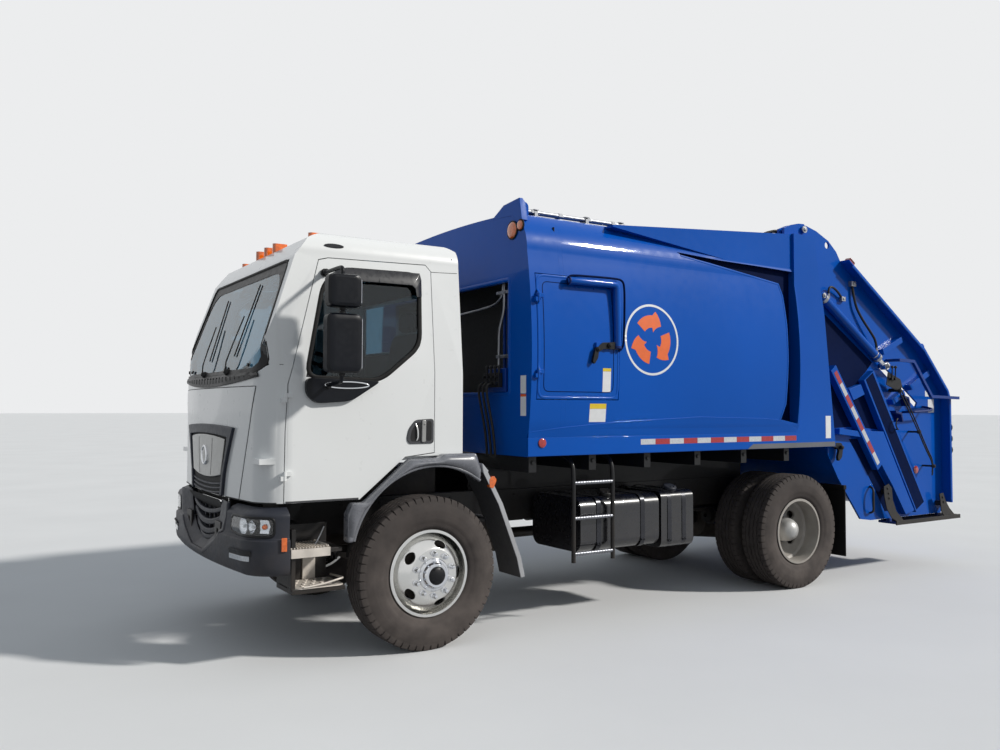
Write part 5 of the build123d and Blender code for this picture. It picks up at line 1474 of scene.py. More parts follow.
def make_arches(name, side):
    """Crowned face and rolled lip of a wheel arch, and the edge, top and marker of its guard."""
    rows = []
    turns = 44
    for step in range(turns + 1):
        turn = radians(15.5 + (124.5 - 15.5) * step / turns)
        ray = Vector((cos(turn), 0, sin(turn)))
        middle = arch_middle + Vector((0, side * 1.130, 0))
        rim = arch_skin.hit(middle + ray * 1.4, -ray)
        inner, outer = 0.621, (rim[0] - middle).length - 0.010
        fade = min(1.0, step / 3, (turns - step) / 3) ** 0.5
        row = []
        for column in range(11):
            share = column / 10
            bulge = 0.0245 * fade * sin(pi * share) ** 0.75
            spot = middle + ray * (inner + (outer - inner) * share)
            row.append((Vector((spot.x, side * (1.1495 + bulge), spot.z)), Vector((0, side, 0))))
        rows.append(row)
    piece(f"arch_crown_{name}", formed(sheet_into, rows, 0.001), arch_grey, "cab", 0, angle=60)
    edge = placed(guard_line)
    edge += [(at(x - guard_edge), z + 0.006) for x, z in guard_line[::-1]]
    piece(f"guard_edge_{name}", formed(prism_into, edge, *span(side, 1.150, 1.156)),
        guard_light, "chassis", 0.002)
    line = []
    for step in range(33):
        turn = radians(13.5 + (126 - 13.5) * step / 32)
        place = Vector((at(arch_x + lip_radius * cos(turn)), side * 1.150 - side * 0.006,
            arch_z + lip_radius * sin(turn)))
        line.append((place, Vector((0, side, 0))))
    piece(f"arch_lip_{name}", formed(ribbon_into, line, round_section(0.011, 0.010, sink=0.010),
        closed=False), arch_grey, "cab", 0)
    bm = formed(prism_into, placed(rounded(((-0.515, 1.075), (-0.545, 1.140), (-0.520, 1.170),
        (-0.478, 1.150), (-0.480, 1.085)), 0.015)), *span(side, 1.120, 1.158))
    piece(f"guard_marker_{name}", bm, amber, "chassis", 0.005)
    bm = formed(prism_into, placed(((-0.428, 1.262), (-0.482, 1.205), (-0.470, 1.190), (-0.436, 1.190),
        (-0.428, 1.238))), *span(side, 0.90, 1.145))
    piece(f"guard_top_{name}", bm, guard_light, "chassis", 0.004)


# Load body

body_skin = Skin("body_shell", "access_door")
cover_skin = Skin("body_shell")
hatch = (-1.585, -0.815, 1.725, 2.650)
recess_edge = ((-3.500, 1.560), (-3.556, 1.700), (-3.574, 2.100), (-3.574, 2.420), (-3.556, 2.680),
    (-3.516, 2.792), (-3.281, 2.822), (-3.024, 2.853), (-2.780, 2.884), (-2.547, 2.914), (-2.325, 2.944))
wedge_edge = ((-2.290, 2.962), (-2.796, 2.938), (-3.302, 2.930))
recess_rear = -3.738
recess_depth_y = 1.160


def body_side(x, z, side=1, proud=0.0):
    """Spot on the body's outer side."""
    return skin_spot(body_skin, x, z, side, proud)


def side_sheet(name, outline_rows, side, material, body, proud=0.0004, thickness=0.0006):
    """Thin sticker or tape on the body's side from rows of (x, z)."""
    bm = bmesh.new()
    rows = [[body_side(x, z, side, proud) for x, z in row] for row in outline_rows]
    sheet_into(bm, rows, thickness)
    return piece(name, bm, material, body, 0)


def patch_rows(x_low, x_high, z_low, z_high, columns=4, rows=4):
    """Rows of (x, z) over a rectangle."""
    return [[(x_low + (x_high - x_low) * column / columns, z_low + (z_high - z_low) * row / rows)
        for column in range(columns + 1)] for row in range(rows + 1)]


def make_body_shell():
    """The body's own form, with the bowed side ending in a deep recess ahead of the rear post, its walls
    painted in deep shade.
    """
    shell = dress("body_shell", blue, 0.003)
    cutters = []
    for side in (1, -1):
        bm = bmesh.new()
        outline = placed(recess_edge + wedge_edge) + [(at(recess_rear), 2.918), (at(recess_rear), 1.520)]
        prism_into(bm, outline, *span(side, recess_depth_y, 1.40))
        cutters.append(loose(f"recess_{side}", bm))
    cut(shell, *cutters)
    for name, side in sides:
        # The recess's back wall, its walls and ledge are painted in deep shade
        bm = bmesh.new()
        outline = [(at(x + 0.02), z) for x, z in ((-3.470, 1.500),) + recess_edge[:5]]
        outline += [(at(x), z - 0.016) for x, z in recess_edge[6:]] + [(at(-2.10), 2.955)]
        outline += [(at(x), z + 0.010) for x, z in wedge_edge] + [(at(recess_rear - 0.01), 2.930),
            (at(recess_rear - 0.01), 1.500)]
        low, high = span(side, recess_depth_y - 0.006, recess_depth_y)
        prism_into(bm, outline, low, high)
        edge = dense(recess_edge, 0.05, closed=False)
        rows = [[], []]
        for x, z in edge:
            skin = body_skin.side(at(x + 0.03), z - (0.02 if z > 2.78 else 0.0), side)
            outside = abs(skin[0].y) - 0.002
            shift, way = (0.004, Vector((-1, 0, 0))) if z < 2.70 else (0.0,
                Vector((-0.15, 0, 1)).normalized())
            rows[0].append((Vector((at(x + shift), side * (recess_depth_y - 0.003), z - 0.002)), way))
            rows[1].append((Vector((at(x + shift), side * outside, z - 0.002)), way))
        sheet_into(bm, rows, 0.003)
        box_into(bm, (at(recess_rear), at(-3.48)), (low, side * 1.20) if side > 0 else (side * 1.20, high),
            (1.516 - 0.004, 1.516 + 0.004))
        piece(f"side_recess_{name}", bm, deep_shade_blue, "chassis", 0.001)
        line = [skin_spot(cover_skin, x + (0.006 if z < 2.78 else 0.0), z - (0.008 if z > 2.78 else 0.0),
            side) for x, z in edge]
        piece(f"side_edge_{name}", formed(ribbon_into, line, round_section(0.010, 0.003, sink=0.008),
            closed=False), blue, "chassis", 0)


def skin_spot(skin, x, z, side, proud=0.0):
    """Spot on the side of a skin."""
    found = skin.side(at(x), z, side)
    return found[0] + found[1] * proud, found[1]


def hatch_line(inset, radius):
    """Rounded outline of the access door, drawn in by an inset."""
    low_x, high_x, low_z, high_z = hatch
    return rounded(((low_x + inset, low_z + inset), (high_x - inset, low_z + inset),
        (high_x - inset, high_z - inset), (low_x + inset, high_z - inset)), radius)


def make_hatch():
    """Groove, hem, bent tube with a rod of painted shade along its edge, its caps (also painted shade) and
    screws and the black latch of the side access door.
    """
    outline = hatch_line(0.055, 0.05)
    piece("hatch_groove", formed(ribbon_into, [body_side(x, z, 1, 0.0002) for x, z in dense(outline, 0.04)],
        flat_section(0.0032, 0.0012)), groove_blue, "access_door", 0)
    outline = hatch_line(0.008, 0.07)
    piece("hatch_hem", formed(ribbon_into, [body_side(x, z, 1, 0.0004) for x, z in dense(outline, 0.04)],
        round_section(0.010, 0.003)), blue, "access_door", 0)
    pipe("hatch_tube", run(1, (-1.095, 1.280, 2.612), (-1.110, 1.292, 2.615), (-1.300, 1.292, 2.616),
        (-1.470, 1.292, 2.617), (-1.540, 1.292, 2.616), (-1.557, 1.292, 2.590), (-1.557, 1.294, 2.520),
        (-1.557, 1.299, 2.350), (-1.557, 1.301, 2.200), (-1.557, 1.301, 2.135)), 0.029, blue, "access_door")
    # Thin rod in painted deep shade along the tube's outer edge, standing for its shaded side
    pipe("hatch_rail_edge", run(1, (-1.085, 1.292, 2.580), (-1.083, 1.294, 2.640), (-1.120, 1.296, 2.656),
        (-1.300, 1.297, 2.660), (-1.540, 1.297, 2.664), (-1.616, 1.297, 2.655), (-1.632, 1.298, 2.590),
        (-1.630, 1.299, 2.400), (-1.622, 1.301, 2.200), (-1.610, 1.301, 2.120), (-1.570, 1.301, 2.100)),
        0.0085, deep_shade_blue, "access_door")
    # Tube caps in blue_dark, the blue paint darkened as painted shade
    bm = bmesh.new()
    for start, end in (((-1.100, 1.290, 2.615), (-1.086, 1.290, 2.615)),
            ((-1.557, 1.301, 2.140), (-1.557, 1.301, 2.118))):
        bar_into(bm, (at(start[0]), *start[1:]), (at(end[0]), *end[1:]), 0.031)
    piece("hatch_tube_caps", bm, blue_dark, "access_door", 0.004)
    bm = bmesh.new()
    prism_into(bm, placed(rounded(((-1.570, 2.170), (-1.570, 2.112), (-1.420, 2.112), (-1.345, 2.080),
        (-1.330, 2.100), (-1.400, 2.160)), 0.012)), 1.272, 1.309)
    prism_into(bm, placed(rounded(((-1.366, 2.130), (-1.330, 2.118), (-1.300, 2.010), (-1.318, 1.992),
        (-1.352, 2.040)), 0.010)), 1.296, 1.318)
    bar_into(bm, (at(-1.352), 1.270, 2.105), (at(-1.352), 1.326, 2.105), 0.017)
    bar_into(bm, (at(-1.470), 1.300, 2.140), (at(-1.470), 1.322, 2.140), 0.021)
    bolt_into(bm, (at(-1.470), 1.322, 2.140), (0, 1, 0), 0.010, 0.008)
    bolt_into(bm, (at(-1.352), 1.326, 2.105), (0, 1, 0), 0.008, 0.007)
    piece("hatch_latch", bm, black_plastic, "access_door", 0.003)
    bm = bmesh.new()
    for x in (-1.18, -1.36, -1.52):
        place, normal = body_side(x, 2.575, 1)
        bolt_into(bm, place, normal, 0.007, 0.006)
    for z in (2.30, 2.45):
        place, normal = body_side(-1.520, z, 1)
        bolt_into(bm, place, normal, 0.007, 0.006)
    piece("hatch_screws", bm, blue, "access_door", 0)


ring_centre = (-1.932, 2.206)
band_y = 1.236
tape_from, tape_to, tape_pieces = -1.851, -3.736, 12
crease = ((-0.760, 1.476), (-1.060, 1.509), (-1.600, 1.548), (-2.487, 1.584), (-3.300, 1.566),
    (-3.520, 1.548), (-3.733, 1.476))


def crease_height(x):
    """Height of the line where the bowed side meets the ledge."""
    for (x1, z1), (x2, z2) in zip(crease, crease[1:]):
        if x2 <= x <= x1:
            return z1 + (z2 - z1) * (x - x1) / (x2 - x1)
    return crease[0][1] if x > crease[0][0] else crease[-1][1]


def make_side_marks(name, side):
    """Ring with its device, sill band, tape, reflector and strip on one side."""
    x0, z0 = ring_centre
    rows = []
    for radius in (0.268, 0.286):
        rows.append([(x0 + radius * cos(2 * pi * k / 72),
            z0 + radius * sin(2 * pi * k / 72)) for k in range(73)])
    side_sheet(f"ring_{name}", rows, side, decal_white, "chassis")
    bm = bmesh.new()
    for arm in range(3):
        middle = pi / 2 + 2 * pi * arm / 3
        rows = []
        for step in range(13):
            share = step / 12
            turn = middle + radians(-50 + 92 * share)
            spread = 0.050 if share < 0.66 else 0.088 * (1 - share) / 0.34
            row = []
            for offset in (-1, -0.33, 0.33, 1):
                radius = 0.148 + spread * offset
                row.append(body_side(x0 + radius * cos(turn), z0 + radius * sin(turn), side, 0.0004))
            rows.append(row)
        sheet_into(bm, rows, 0.0006)
    piece(f"ring_device_{name}", bm, decal_orange, "chassis", 0)
    bm = bmesh.new()
    box_into(bm, (at(-3.738), at(-0.762)), span(side, 1.2202, band_y), (1.3035, 1.440))
    rows = [[], []]
    for x in dense_line(-0.764, -3.737, 0.08):
        rows[0].append((Vector((at(x), side * (band_y - 0.001), 1.4395)), Vector((0, side * 0.7, 0.7))))
        place = skin_spot(cover_skin, x, crease_height(x), side, 0.0015)[0]
        rows[1].append((place, Vector((0, side * 0.7, 0.7))))
    sheet_into(bm, rows, 0.0015)
    piece(f"sill_band_{name}", bm, blue, "chassis", 0.003)
    step = (tape_from - tape_to) / tape_pieces
    for colour, finish_used, first in (("white", tape_white, 0), ("red", tape_red, 1)):
        bm = bmesh.new()
        for number in range(first, tape_pieces, 2):
            x = tape_from - number * step
            box_into(bm, (at(x - step + 0.0015), at(x)),
                span(side, band_y + 0.0001, band_y + 0.001), (1.368, 1.412))
        piece(f"tape_{colour}_{name}", bm, finish_used, "chassis", 0)
    bm = formed(lathe_into, [(0, 0.034), (0.007, 0.034), (0.010, 0.029), (0.010, 0.0)],
        (at(-0.886), side * band_y, 1.400), (0, side, 0), 32, closed=False)
    piece(f"side_reflector_{name}", bm, red_lens, "chassis", 0)
    bm = bmesh.new()
    prism_into(bm, placed(((-3.090, 1.302), (-3.160, 1.346), (-4.305, 1.346), (-4.305, 1.302))),
        *span(side, 1.2252, 1.2266))
    prism_into(bm, placed(((-3.090, 1.304), (-3.160, 1.346), (-3.736, 1.346), (-3.736, 1.302))),
        *span(side, band_y + 0.0002, band_y + 0.0014))
    piece(f"sill_strip_{name}", bm, primer_grey, "chassis", 0)


def make_body_marks():
    """Marks of both sides, and blank labels on the left side and on the body's front post."""
    both_sides(make_side_marks)
    side_sheet("label_large", patch_rows(-1.470, -1.310, 1.552, 1.652), 1, decal_white, "chassis")
    side_sheet("label_large_head", patch_rows(-1.470, -1.310, 1.653, 1.692), 1, decal_yellow, "chassis")
    side_sheet("label_small", patch_rows(-1.505, -1.425, 1.780, 1.940), 1, decal_white, "access_door")
    side_sheet("label_small_head", patch_rows(-1.505, -1.425, 1.941, 1.965), 1, decal_yellow, "access_door")
    bm = bmesh.new()
    for low, high in ((1.765, 1.898), (1.600, 1.742)):
        box_into(bm, (at(-0.7598), at(-0.7588)), (1.140, 1.212), (low, high))
    piece("post_labels", bm, decal_white, "chassis", 0)
    piece("post_label_head", formed(box_into, (at(-0.7597), at(-0.7585)), (1.140, 1.212), (1.742, 1.760)),
        decal_orange, "chassis", 0)


def make_body_front():
    """Front of the body: bay lined in painted shade, with its pipes and hoses, valve bank, corner cap and
    lamps.
    """
    # Thin near black lining of the bay: painted shade
    bm = bmesh.new()
    box_into(bm, (at(-1.0395), at(-1.034)), (-1.18, 1.18), (1.405, 3.03))
    box_into(bm, (at(-1.030), at(-0.805)), (-1.16, -1.152), (1.42, 2.98))
    box_into(bm, (at(-1.030), at(-0.805)), (-1.15, 1.15), (1.405, 1.412))
    piece("bay_lining", bm, painted_shade_black, "chassis", 0)
    edge = [(-0.985, 1.765), (-0.985, 2.635), (0.985, 2.635), (0.985, 1.765)]
    outline = rounded(edge, 0.03)
    piece("bay_rim", formed(ribbon_into, [(Vector((at(-0.7605), y, z)), Vector((1, 0, 0)))
        for y, z in dense(outline, 0.05)], round_section(0.016, 0.006, sink=0.004)), blue, "chassis", 0)
    routes = (
        ((0.800, 2.640), (0.800, 2.520), (0.798, 2.420), (0.760, 2.340), (0.726, 2.270), (0.722, 2.150),
         (0.722, 1.950)),
        ((0.850, 2.640), (0.850, 2.480), (0.856, 2.380), (0.885, 2.300), (0.905, 2.220), (0.908, 2.080),
         (0.908, 1.950)),
        ((0.880, 2.640), (0.880, 2.500), (0.886, 2.420), (0.918, 2.350), (0.940, 2.260), (0.942, 2.100),
         (0.942, 1.950)),
        ((-0.550, 2.430), (0.150, 2.450), (0.450, 2.462), (0.640, 2.476), (0.735, 2.520), (0.760, 2.580),
         (0.762, 2.640)),
        ((-0.350, 1.700), (-0.345, 2.100), (-0.340, 2.300), (-0.300, 2.420), (-0.200, 2.500), (0.000, 2.560),
         (0.020, 2.640)),
    )
    for number, route in enumerate(routes):
        pipe(f"bay_pipe_{number + 1}", [(at(-0.835 - 0.012 * (number % 2)), y, z) for y, z in route],
            0.011 if number < 3 else 0.009, steel if number < 4 else hose_black, "chassis")
    bm = bmesh.new()
    for z in (2.560, 2.060):
        box_into(bm, (at(-0.862), at(-0.822)), (0.700, 0.965), (z - 0.012, z + 0.012))
        for y in (0.735, 0.815, 0.895):
            bolt_into(bm, (at(-0.822), y, z), (1, 0, 0), 0.007, 0.007)
    piece("bay_clamps", bm, steel, "chassis", 0.002)
    bm = bmesh.new()
    for number in range(4):
        y = 0.735 + number * 0.058
        box_into(bm, (at(-0.735), at(-0.700)), (y - 0.021, y + 0.021), (1.815, 1.925))
        bar_into(bm, (at(-0.702), y, 1.845), (at(-0.672), y, 1.845), 0.013)
        bar_into(bm, (at(-0.702), y, 1.895), (at(-0.680), y, 1.895), 0.010)
        bar_into(bm, (at(-0.718), y, 1.925), (at(-0.718), y, 1.965), 0.009)
        ball_into(bm, (at(-0.718), y, 1.972), 0.014)
    piece("valve_bank", bm, black_metal, "chassis", 0.002)
    for number in range(3):
        y = 0.735 + number * 0.058
        pipe(f"valve_hose_{number + 1}", run(1, (-0.690, y, 1.845), (-0.650, y, 1.840), (-0.640, y, 1.780),
            (-0.655, y + 0.02, 1.650), (-0.680, y + 0.05, 1.450),
            (-0.690, y + 0.05, 1.290)), 0.010, hose_black, "chassis")
    for name, side in sides:
        bm = bmesh.new()
        outline = ((0.735, 3.132), (0.903, 3.214), (1.120, 3.232), (1.152, 3.060),
            (1.100, 3.050), (1.020, 3.110))
        rings = []
        for x, shrink in ((-0.757, 0.0), (-0.790, 0.0), (-0.815, 0.030)):
            rings.append([bm.verts.new((at(x), side * y,
                max(3.0, z - shrink if z > 3.14 else z))) for y, z in outline])
        for first, second in zip(rings, rings[1:]):
            band_into(bm, first, second)
        bm.faces.new(rings[0])
        bm.faces.new(rings[-1][::-1])
        piece(f"corner_cap_{name}", bm, blue, "chassis", 0.004)
        for label, y, z, radius in (("large", 1.030, 3.000, 0.062), ("small", 1.142, 3.020, 0.036)):
            place = (at(-0.7600), side * y, z)
            bm = formed(lathe_into, [(0, radius), (0.008, radius), (0.016, radius * 0.86),
                (0.019, radius * 0.5), (0.020, 0.0)], place, (1, 0, 0), 40, closed=False)
            piece(f"front_lamp_{label}_{name}", bm, amber, "chassis", 0)
            bm = formed(lathe_into, [(0, radius + 0.010), (0.007, radius + 0.010), (0.010, radius + 0.004),
                (0.010, radius), (0, radius)], place, (1, 0, 0), 40)
            piece(f"front_lamp_rim_{label}_{name}", bm, rubber, "chassis", 0)


def make_roof_work():
    """Unions, clamps and hoses of the roof's pipes, the bead on the ledge and the bolts of the bearers."""
    bm = bmesh.new()
    for x in (-0.83, -0.98, -1.24, -1.52, -1.78, -1.88):
        for y in (0.945, 0.980):
            bar_into(bm, (at(x - 0.020), y, 3.175), (at(x + 0.020), y, 3.175), 0.020, 6)
    for x in (-1.000, -1.500, -1.860):
        box_into(bm, (at(x - 0.018), at(x + 0.018)), (0.914, 1.006), (3.189, 3.196))
        bolt_into(bm, (at(x), 0.9625, 3.196), (0, 0, 1), 0.008, 0.008)
    piece("roof_pipe_unions", bm, steel, "chassis", 0.001)
    for number, y in enumerate((0.945, 0.980)):
        pipe(f"roof_hose_{number + 1}", run(1, (-3.620, y, 3.290), (-3.700, y + 0.02, 3.330),
            (-3.790, y + 0.04, 3.338), (-3.860, y + 0.06, 3.318),
            (-3.930, 1.010, 3.302)), 0.013, hose_black, "chassis")
    for name, side in sides:
        line = [skin_spot(cover_skin, x, crease_height(x) + 0.002, side)
            for x in dense_line(-0.765, -3.50, 0.1)]
        piece(f"ledge_bead_{name}", formed(ribbon_into, line, round_section(0.004, 0.003),
            closed=False), blue, "chassis", 0)
        places = [(at(-0.840 - 0.565 * bearer), side * 1.180, 1.255) for bearer in range(6)]
        bolts(f"bearer_bolts_{name}", places, (0, side, 0), "chassis", 0.012, 0.010, black_metal)


def make_seat(name, side):
    """A seat with crowned cushions, bolsters, seams, headrest and pedestal."""
    y0 = side * 0.560
    forms = (
        # part, x limits, half width, z limits
        ("cushion", (-0.055, 0.425), 0.235, (1.645, 1.765)),
        ("back", (-0.185, -0.065), 0.235, (1.700, 2.210)),
        ("headrest", (-0.165, -0.085), 0.130, (2.225, 2.375)),
    )
    for part, x_limits, half, z_limits in forms:
        bm = bmesh.new()
        box_into(bm, (at(x_limits[0]), at(x_limits[1])), (y0 - half, y0 + half), z_limits)
        bmesh.ops.subdivide_edges(bm, edges=bm.edges, cuts=5, use_grid_fill=True)
        middle = Vector((at(sum(x_limits) / 2), y0, sum(z_limits) / 2))
        size = Vector((x_limits[1] - x_limits[0], 2 * half, z_limits[1] - z_limits[0])) / 2
        for vertex in bm.verts:
            offset = vertex.co - middle
            share = [abs(offset[k]) / size[k] for k in range(3)]
            crown = 0.030 if part != "headrest" else 0.016
            bolster = 0.022 * max(0.0, min(1.0, (share[1] - 0.55) / 0.3)) if part != "headrest" else 0.0
            thin = 2 if part == "cushion" else 0
            if share[thin] > 0.99:
                rise = (1 - share[(thin + 1) % 3] ** 2) * (1 - share[(thin + 2) % 3] ** 2) * crown + bolster
                sign = 1 if offset[thin] > 0 else 0
                vertex.co[thin] += sign * rise
            pull = 0.022 * (sum(s > 0.99 for s in share) - 1) if sum(s > 0.99 for s in share) > 1 else 0.0
            for k in range(3):
                if share[k] > 0.99:
                    vertex.co[k] -= pull * (1 if offset[k] > 0 else -1)
        obj = piece(f"seat_{part}_{name}", bm, seat_cloth, "cab", 0,
            replaced=["seats"] if (part == "cushion" and side > 0) else ())
        smooth = obj.modifiers.new("smooth", "SUBSURF")
        smooth.levels = smooth.render_levels = 2
        obj.modifiers.move(len(obj.modifiers) - 1, 0)
        obj.modifiers.remove(obj.modifiers["normals"])
    bm = bmesh.new()
    for offset in (-0.11, 0.11):
        spots = []
        for x in dense_line(-0.050, 0.420, 0.04):
            across = (x - 0.185) / 0.24
            z = 1.765 + 0.030 * max(0.0, 1 - across ** 2) * (1 - (offset / 0.235) ** 2) - 0.002
            spots.append((Vector((at(x), y0 + offset, z)), Vector((0, 0, 1))))
        ribbon_into(bm, spots, round_section(0.004, 0.004), closed=False)
    piece(f"seat_seams_{name}", bm, rubber, "cab", 0)
    bm = bmesh.new()
    box_into(bm, (at(0.040), at(0.340)), (y0 - 0.150, y0 + 0.150), (1.332, 1.630))
    for step in range(4):
        z = 1.38 + step * 0.06
        box_into(bm, (at(0.032), at(0.348)), (y0 - 0.158, y0 + 0.158), (z, z + 0.024))
    for d in (-0.05, 0.05):
        bar_into(bm, (at(-0.125), y0 + d, 2.190), (at(-0.125), y0 + d, 2.245), 0.007)
    piece(f"seat_base_{name}", bm, black_plastic, "cab", 0.006)


def make_seats():
    """Two seats with crowned cushions, bolsters, seams, headrests and a pedestal."""
    both_sides(make_seat)
    bm = bmesh.new()
    box_into(bm, (at(-0.262), at(-0.255)), (-0.98, 0.98), (1.34, 2.10))
    box_into(bm, (at(-0.262), at(-0.255)), (-0.98, 0.98), (2.54, 2.74))
    box_into(bm, (at(-0.262), at(0.640)), (-0.86, 0.86), (2.772, 2.778))
    piece("cab_lining", bm, trim_grey, "cab", 0.002)
    bm = bmesh.new()
    for side in (1, -1):
        prism_into(bm, placed(((0.700, 2.700), (0.780, 2.560), (0.774, 2.556), (0.690, 2.696))),
            *span(side, 0.10, 0.80))
    piece("sun_visors", bm, black_plastic, "cab", 0.003)


def make_dash_work():
    """Gauge hood, vents on the dashboard and the padding of the steering wheel's rim."""
    bm = bmesh.new()
    prism_into(bm, placed(rounded(((0.800, 1.846), (0.930, 1.868), (0.900, 1.920),
        (0.820, 1.925)), 0.02)), 0.360, 0.760)
    for row in range(9):
        y = -0.84 + row * 0.05
        box_into(bm, (at(0.960), at(1.030)), (y, y + 0.016), (1.853, 1.858))
    piece("gauge_hood", bm, black_plastic, "cab", 0.003)
    lean_angle = radians(25)
    centre = Vector((at(0.520), 0.560, 1.960)) + Vector((-sin(lean_angle), 0, cos(lean_angle))) * 0.011
    major, minor = 0.203, 0.0145
    profile = [(minor * sin(2 * pi * k / 12), major + minor * cos(2 * pi * k / 12)) for k in range(12)]
    piece("wheel_rim_padding", formed(lathe_into, profile, centre, (-sin(lean_angle), 0, cos(lean_angle)),
        56), black_plastic, "cab", 0)


# Tailgate

packer_angle = radians(33)
way_x, way_z = -cos(packer_angle), -sin(packer_angle)
pivot_x, pivot_z = -5.250 - way_x * 0.700, 1.700 - way_z * 0.700
cylinder_lift, cylinder_y = 0.300, 1.165
gate_skin = Skin("tailgate", "gate_frames")


def on_way(distance, lift=0.0):
    """X and Z up the packer's way from the blade's pivot, and square off it."""
    return pivot_x - way_x * distance + way_z * lift, pivot_z - way_z * distance - way_x * lift


def make_gate_marks():
    """Red and white tape on the brace, blank labels and reflectors of the tailgate."""
    start, end = Vector((-4.372, 2.013)), Vector((-5.035, 1.109))
    across = (end - start).normalized().orthogonal() * 0.024
    for name, side in sides:
        for colour, finish_used, first in (("red", tape_red, 0), ("white", tape_white, 1)):
            bm = bmesh.new()
            for number in range(first, 8, 2):
                corners = [start.lerp(end, number / 8) - across, start.lerp(end, (number + 1) / 8) - across,
                    start.lerp(end, (number + 1) / 8) + across, start.lerp(end, number / 8) + across]
                prism_into(bm, [(at(p.x), p.y) for p in corners], *span(side, 1.1902, 1.1914))
            piece(f"brace_tape_{colour}_{name}", bm, finish_used, "tailgate", 0)
        bm = bmesh.new()
        for low_x, high_x, low_z, high_z in ((-6.130, -6.020, 1.620, 1.760), (-6.060, -5.970, 1.790, 1.850)):
            box_into(bm, (at(low_x), at(high_x)), span(side, 1.1205, 1.1205 + 0.0012), (low_z, high_z))
        box_into(bm, (at(-4.245), at(-4.170)), span(side, 1.2252, 1.2264), (1.380, 1.590))
        piece(f"gate_labels_{name}", bm, decal_white, "tailgate", 0)
        bm = formed(lathe_into, [(0, 0.040), (0.006, 0.040), (0.009, 0.034), (0.009, 0.0)],
            (at(-5.780), side * gate_flat(-5.780, 1.020, side), 1.020), (0, side, 0), 32, closed=False)
        piece(f"gate_reflector_{name}", bm, red_lens, "tailgate", 0)


def gate_flat(x, z, side):
    """How far out the tailgate's skin is at a place on its side."""
    return abs(gate_skin.side(at(x), z, side)[0].y)


def gate_cylinder(name, side):
    """Fittings of the packer's cylinder, its clamped hoses and its pins."""
    y = side * cylinder_y
    bm = bmesh.new()
    for distance, radius, half in ((-0.296, 0.049, 0.016), (-0.240, 0.046, 0.006), (0.690, 0.047, 0.018)):
        x, z = on_way(distance, cylinder_lift)
        lathe_into(bm, [(-half, radius - 0.004), (-half + 0.004, radius), (half - 0.004, radius),
            (half, radius - 0.004), (half, 0.030), (-half, 0.030)], (at(x), y, z), (-way_x, 0, -way_z), 32)
    for distance in (-0.255, 0.640):
        x, z = on_way(distance, cylinder_lift + 0.046)
        bar_into(bm, (at(x), y, z - 0.016), (at(x), y, z + 0.030), 0.016, 6)
        bar_into(bm, (at(x), y, z + 0.028), (at(x), y, z + 0.044), 0.012)
    piece(f"cylinder_fittings_{name}", bm, steel, "tailgate", 0.001)
    head_x, head_z = on_way(0.640, cylinder_lift + 0.046)
    foot_x, foot_z = on_way(-0.255, cylinder_lift + 0.046)
    pipe(f"cylinder_hose_head_{name}", [(at(head_x), y, head_z + 0.040), (at(head_x), y, head_z + 0.095),
        (at(head_x - 0.050), y, head_z + 0.120), (at(head_x - 0.160), y - side * 0.012, head_z + 0.080),
        (at(head_x - 0.240), side * 1.140, head_z + 0.020)], 0.011, hose_black, "tailgate")
    pipe(f"cylinder_hose_foot_{name}", [(at(foot_x), y, foot_z + 0.040),
        (at(foot_x + 0.010), y, foot_z + 0.110), (at(foot_x + 0.090), y, foot_z + 0.190),
        (at(foot_x + 0.230), y - side * 0.010, foot_z + 0.330),
        (at(foot_x + 0.330), side * 1.150, foot_z + 0.470),
        (at(foot_x + 0.345), side * 1.140, foot_z + 0.640)], 0.012, hose_black, "tailgate")
    bm = bmesh.new()
    x, z = foot_x + 0.345, foot_z + 0.660
    box_into(bm, (at(x - 0.035), at(x + 0.035)), span(side, 1.121, 1.160), (z - 0.025, z + 0.025))
    bolt_into(bm, (at(x), side * 1.160, z), (0, side, 0), 0.009, 0.009)
    x, z = head_x - 0.250, head_z + 0.012
    box_into(bm, (at(x - 0.030), at(x + 0.030)), span(side, 1.121, 1.155), (z - 0.022, z + 0.022))
    bolt_into(bm, (at(x), side * 1.155, z), (0, side, 0), 0.009, 0.009)
    piece(f"hose_blocks_{name}", bm, steel, "tailgate", 0.002)
    bm = bmesh.new()
    x, z = on_way(0.740, cylinder_lift)
    bar_into(bm, (at(x), side * 1.185, z), (at(x), side * 1.206, z), 0.026)
    bolt_into(bm, (at(x), side * 1.206, z), (0, side, 0), 0.012, 0.010)
    piece(f"cylinder_pin_{name}", bm, steel, "tailgate", 0.002)
    bm = bmesh.new()
    x, z = on_way(-0.440, cylinder_lift)
    bar_into(bm, (at(x), side * 1.196, z), (at(x), side * 1.214, z), 0.024)
    bolt_into(bm, (at(x), side * 1.214, z), (0, side, 0), 0.011, 0.009)
    piece(f"rod_pin_{name}", bm, steel, "packer_carriage", 0.002)


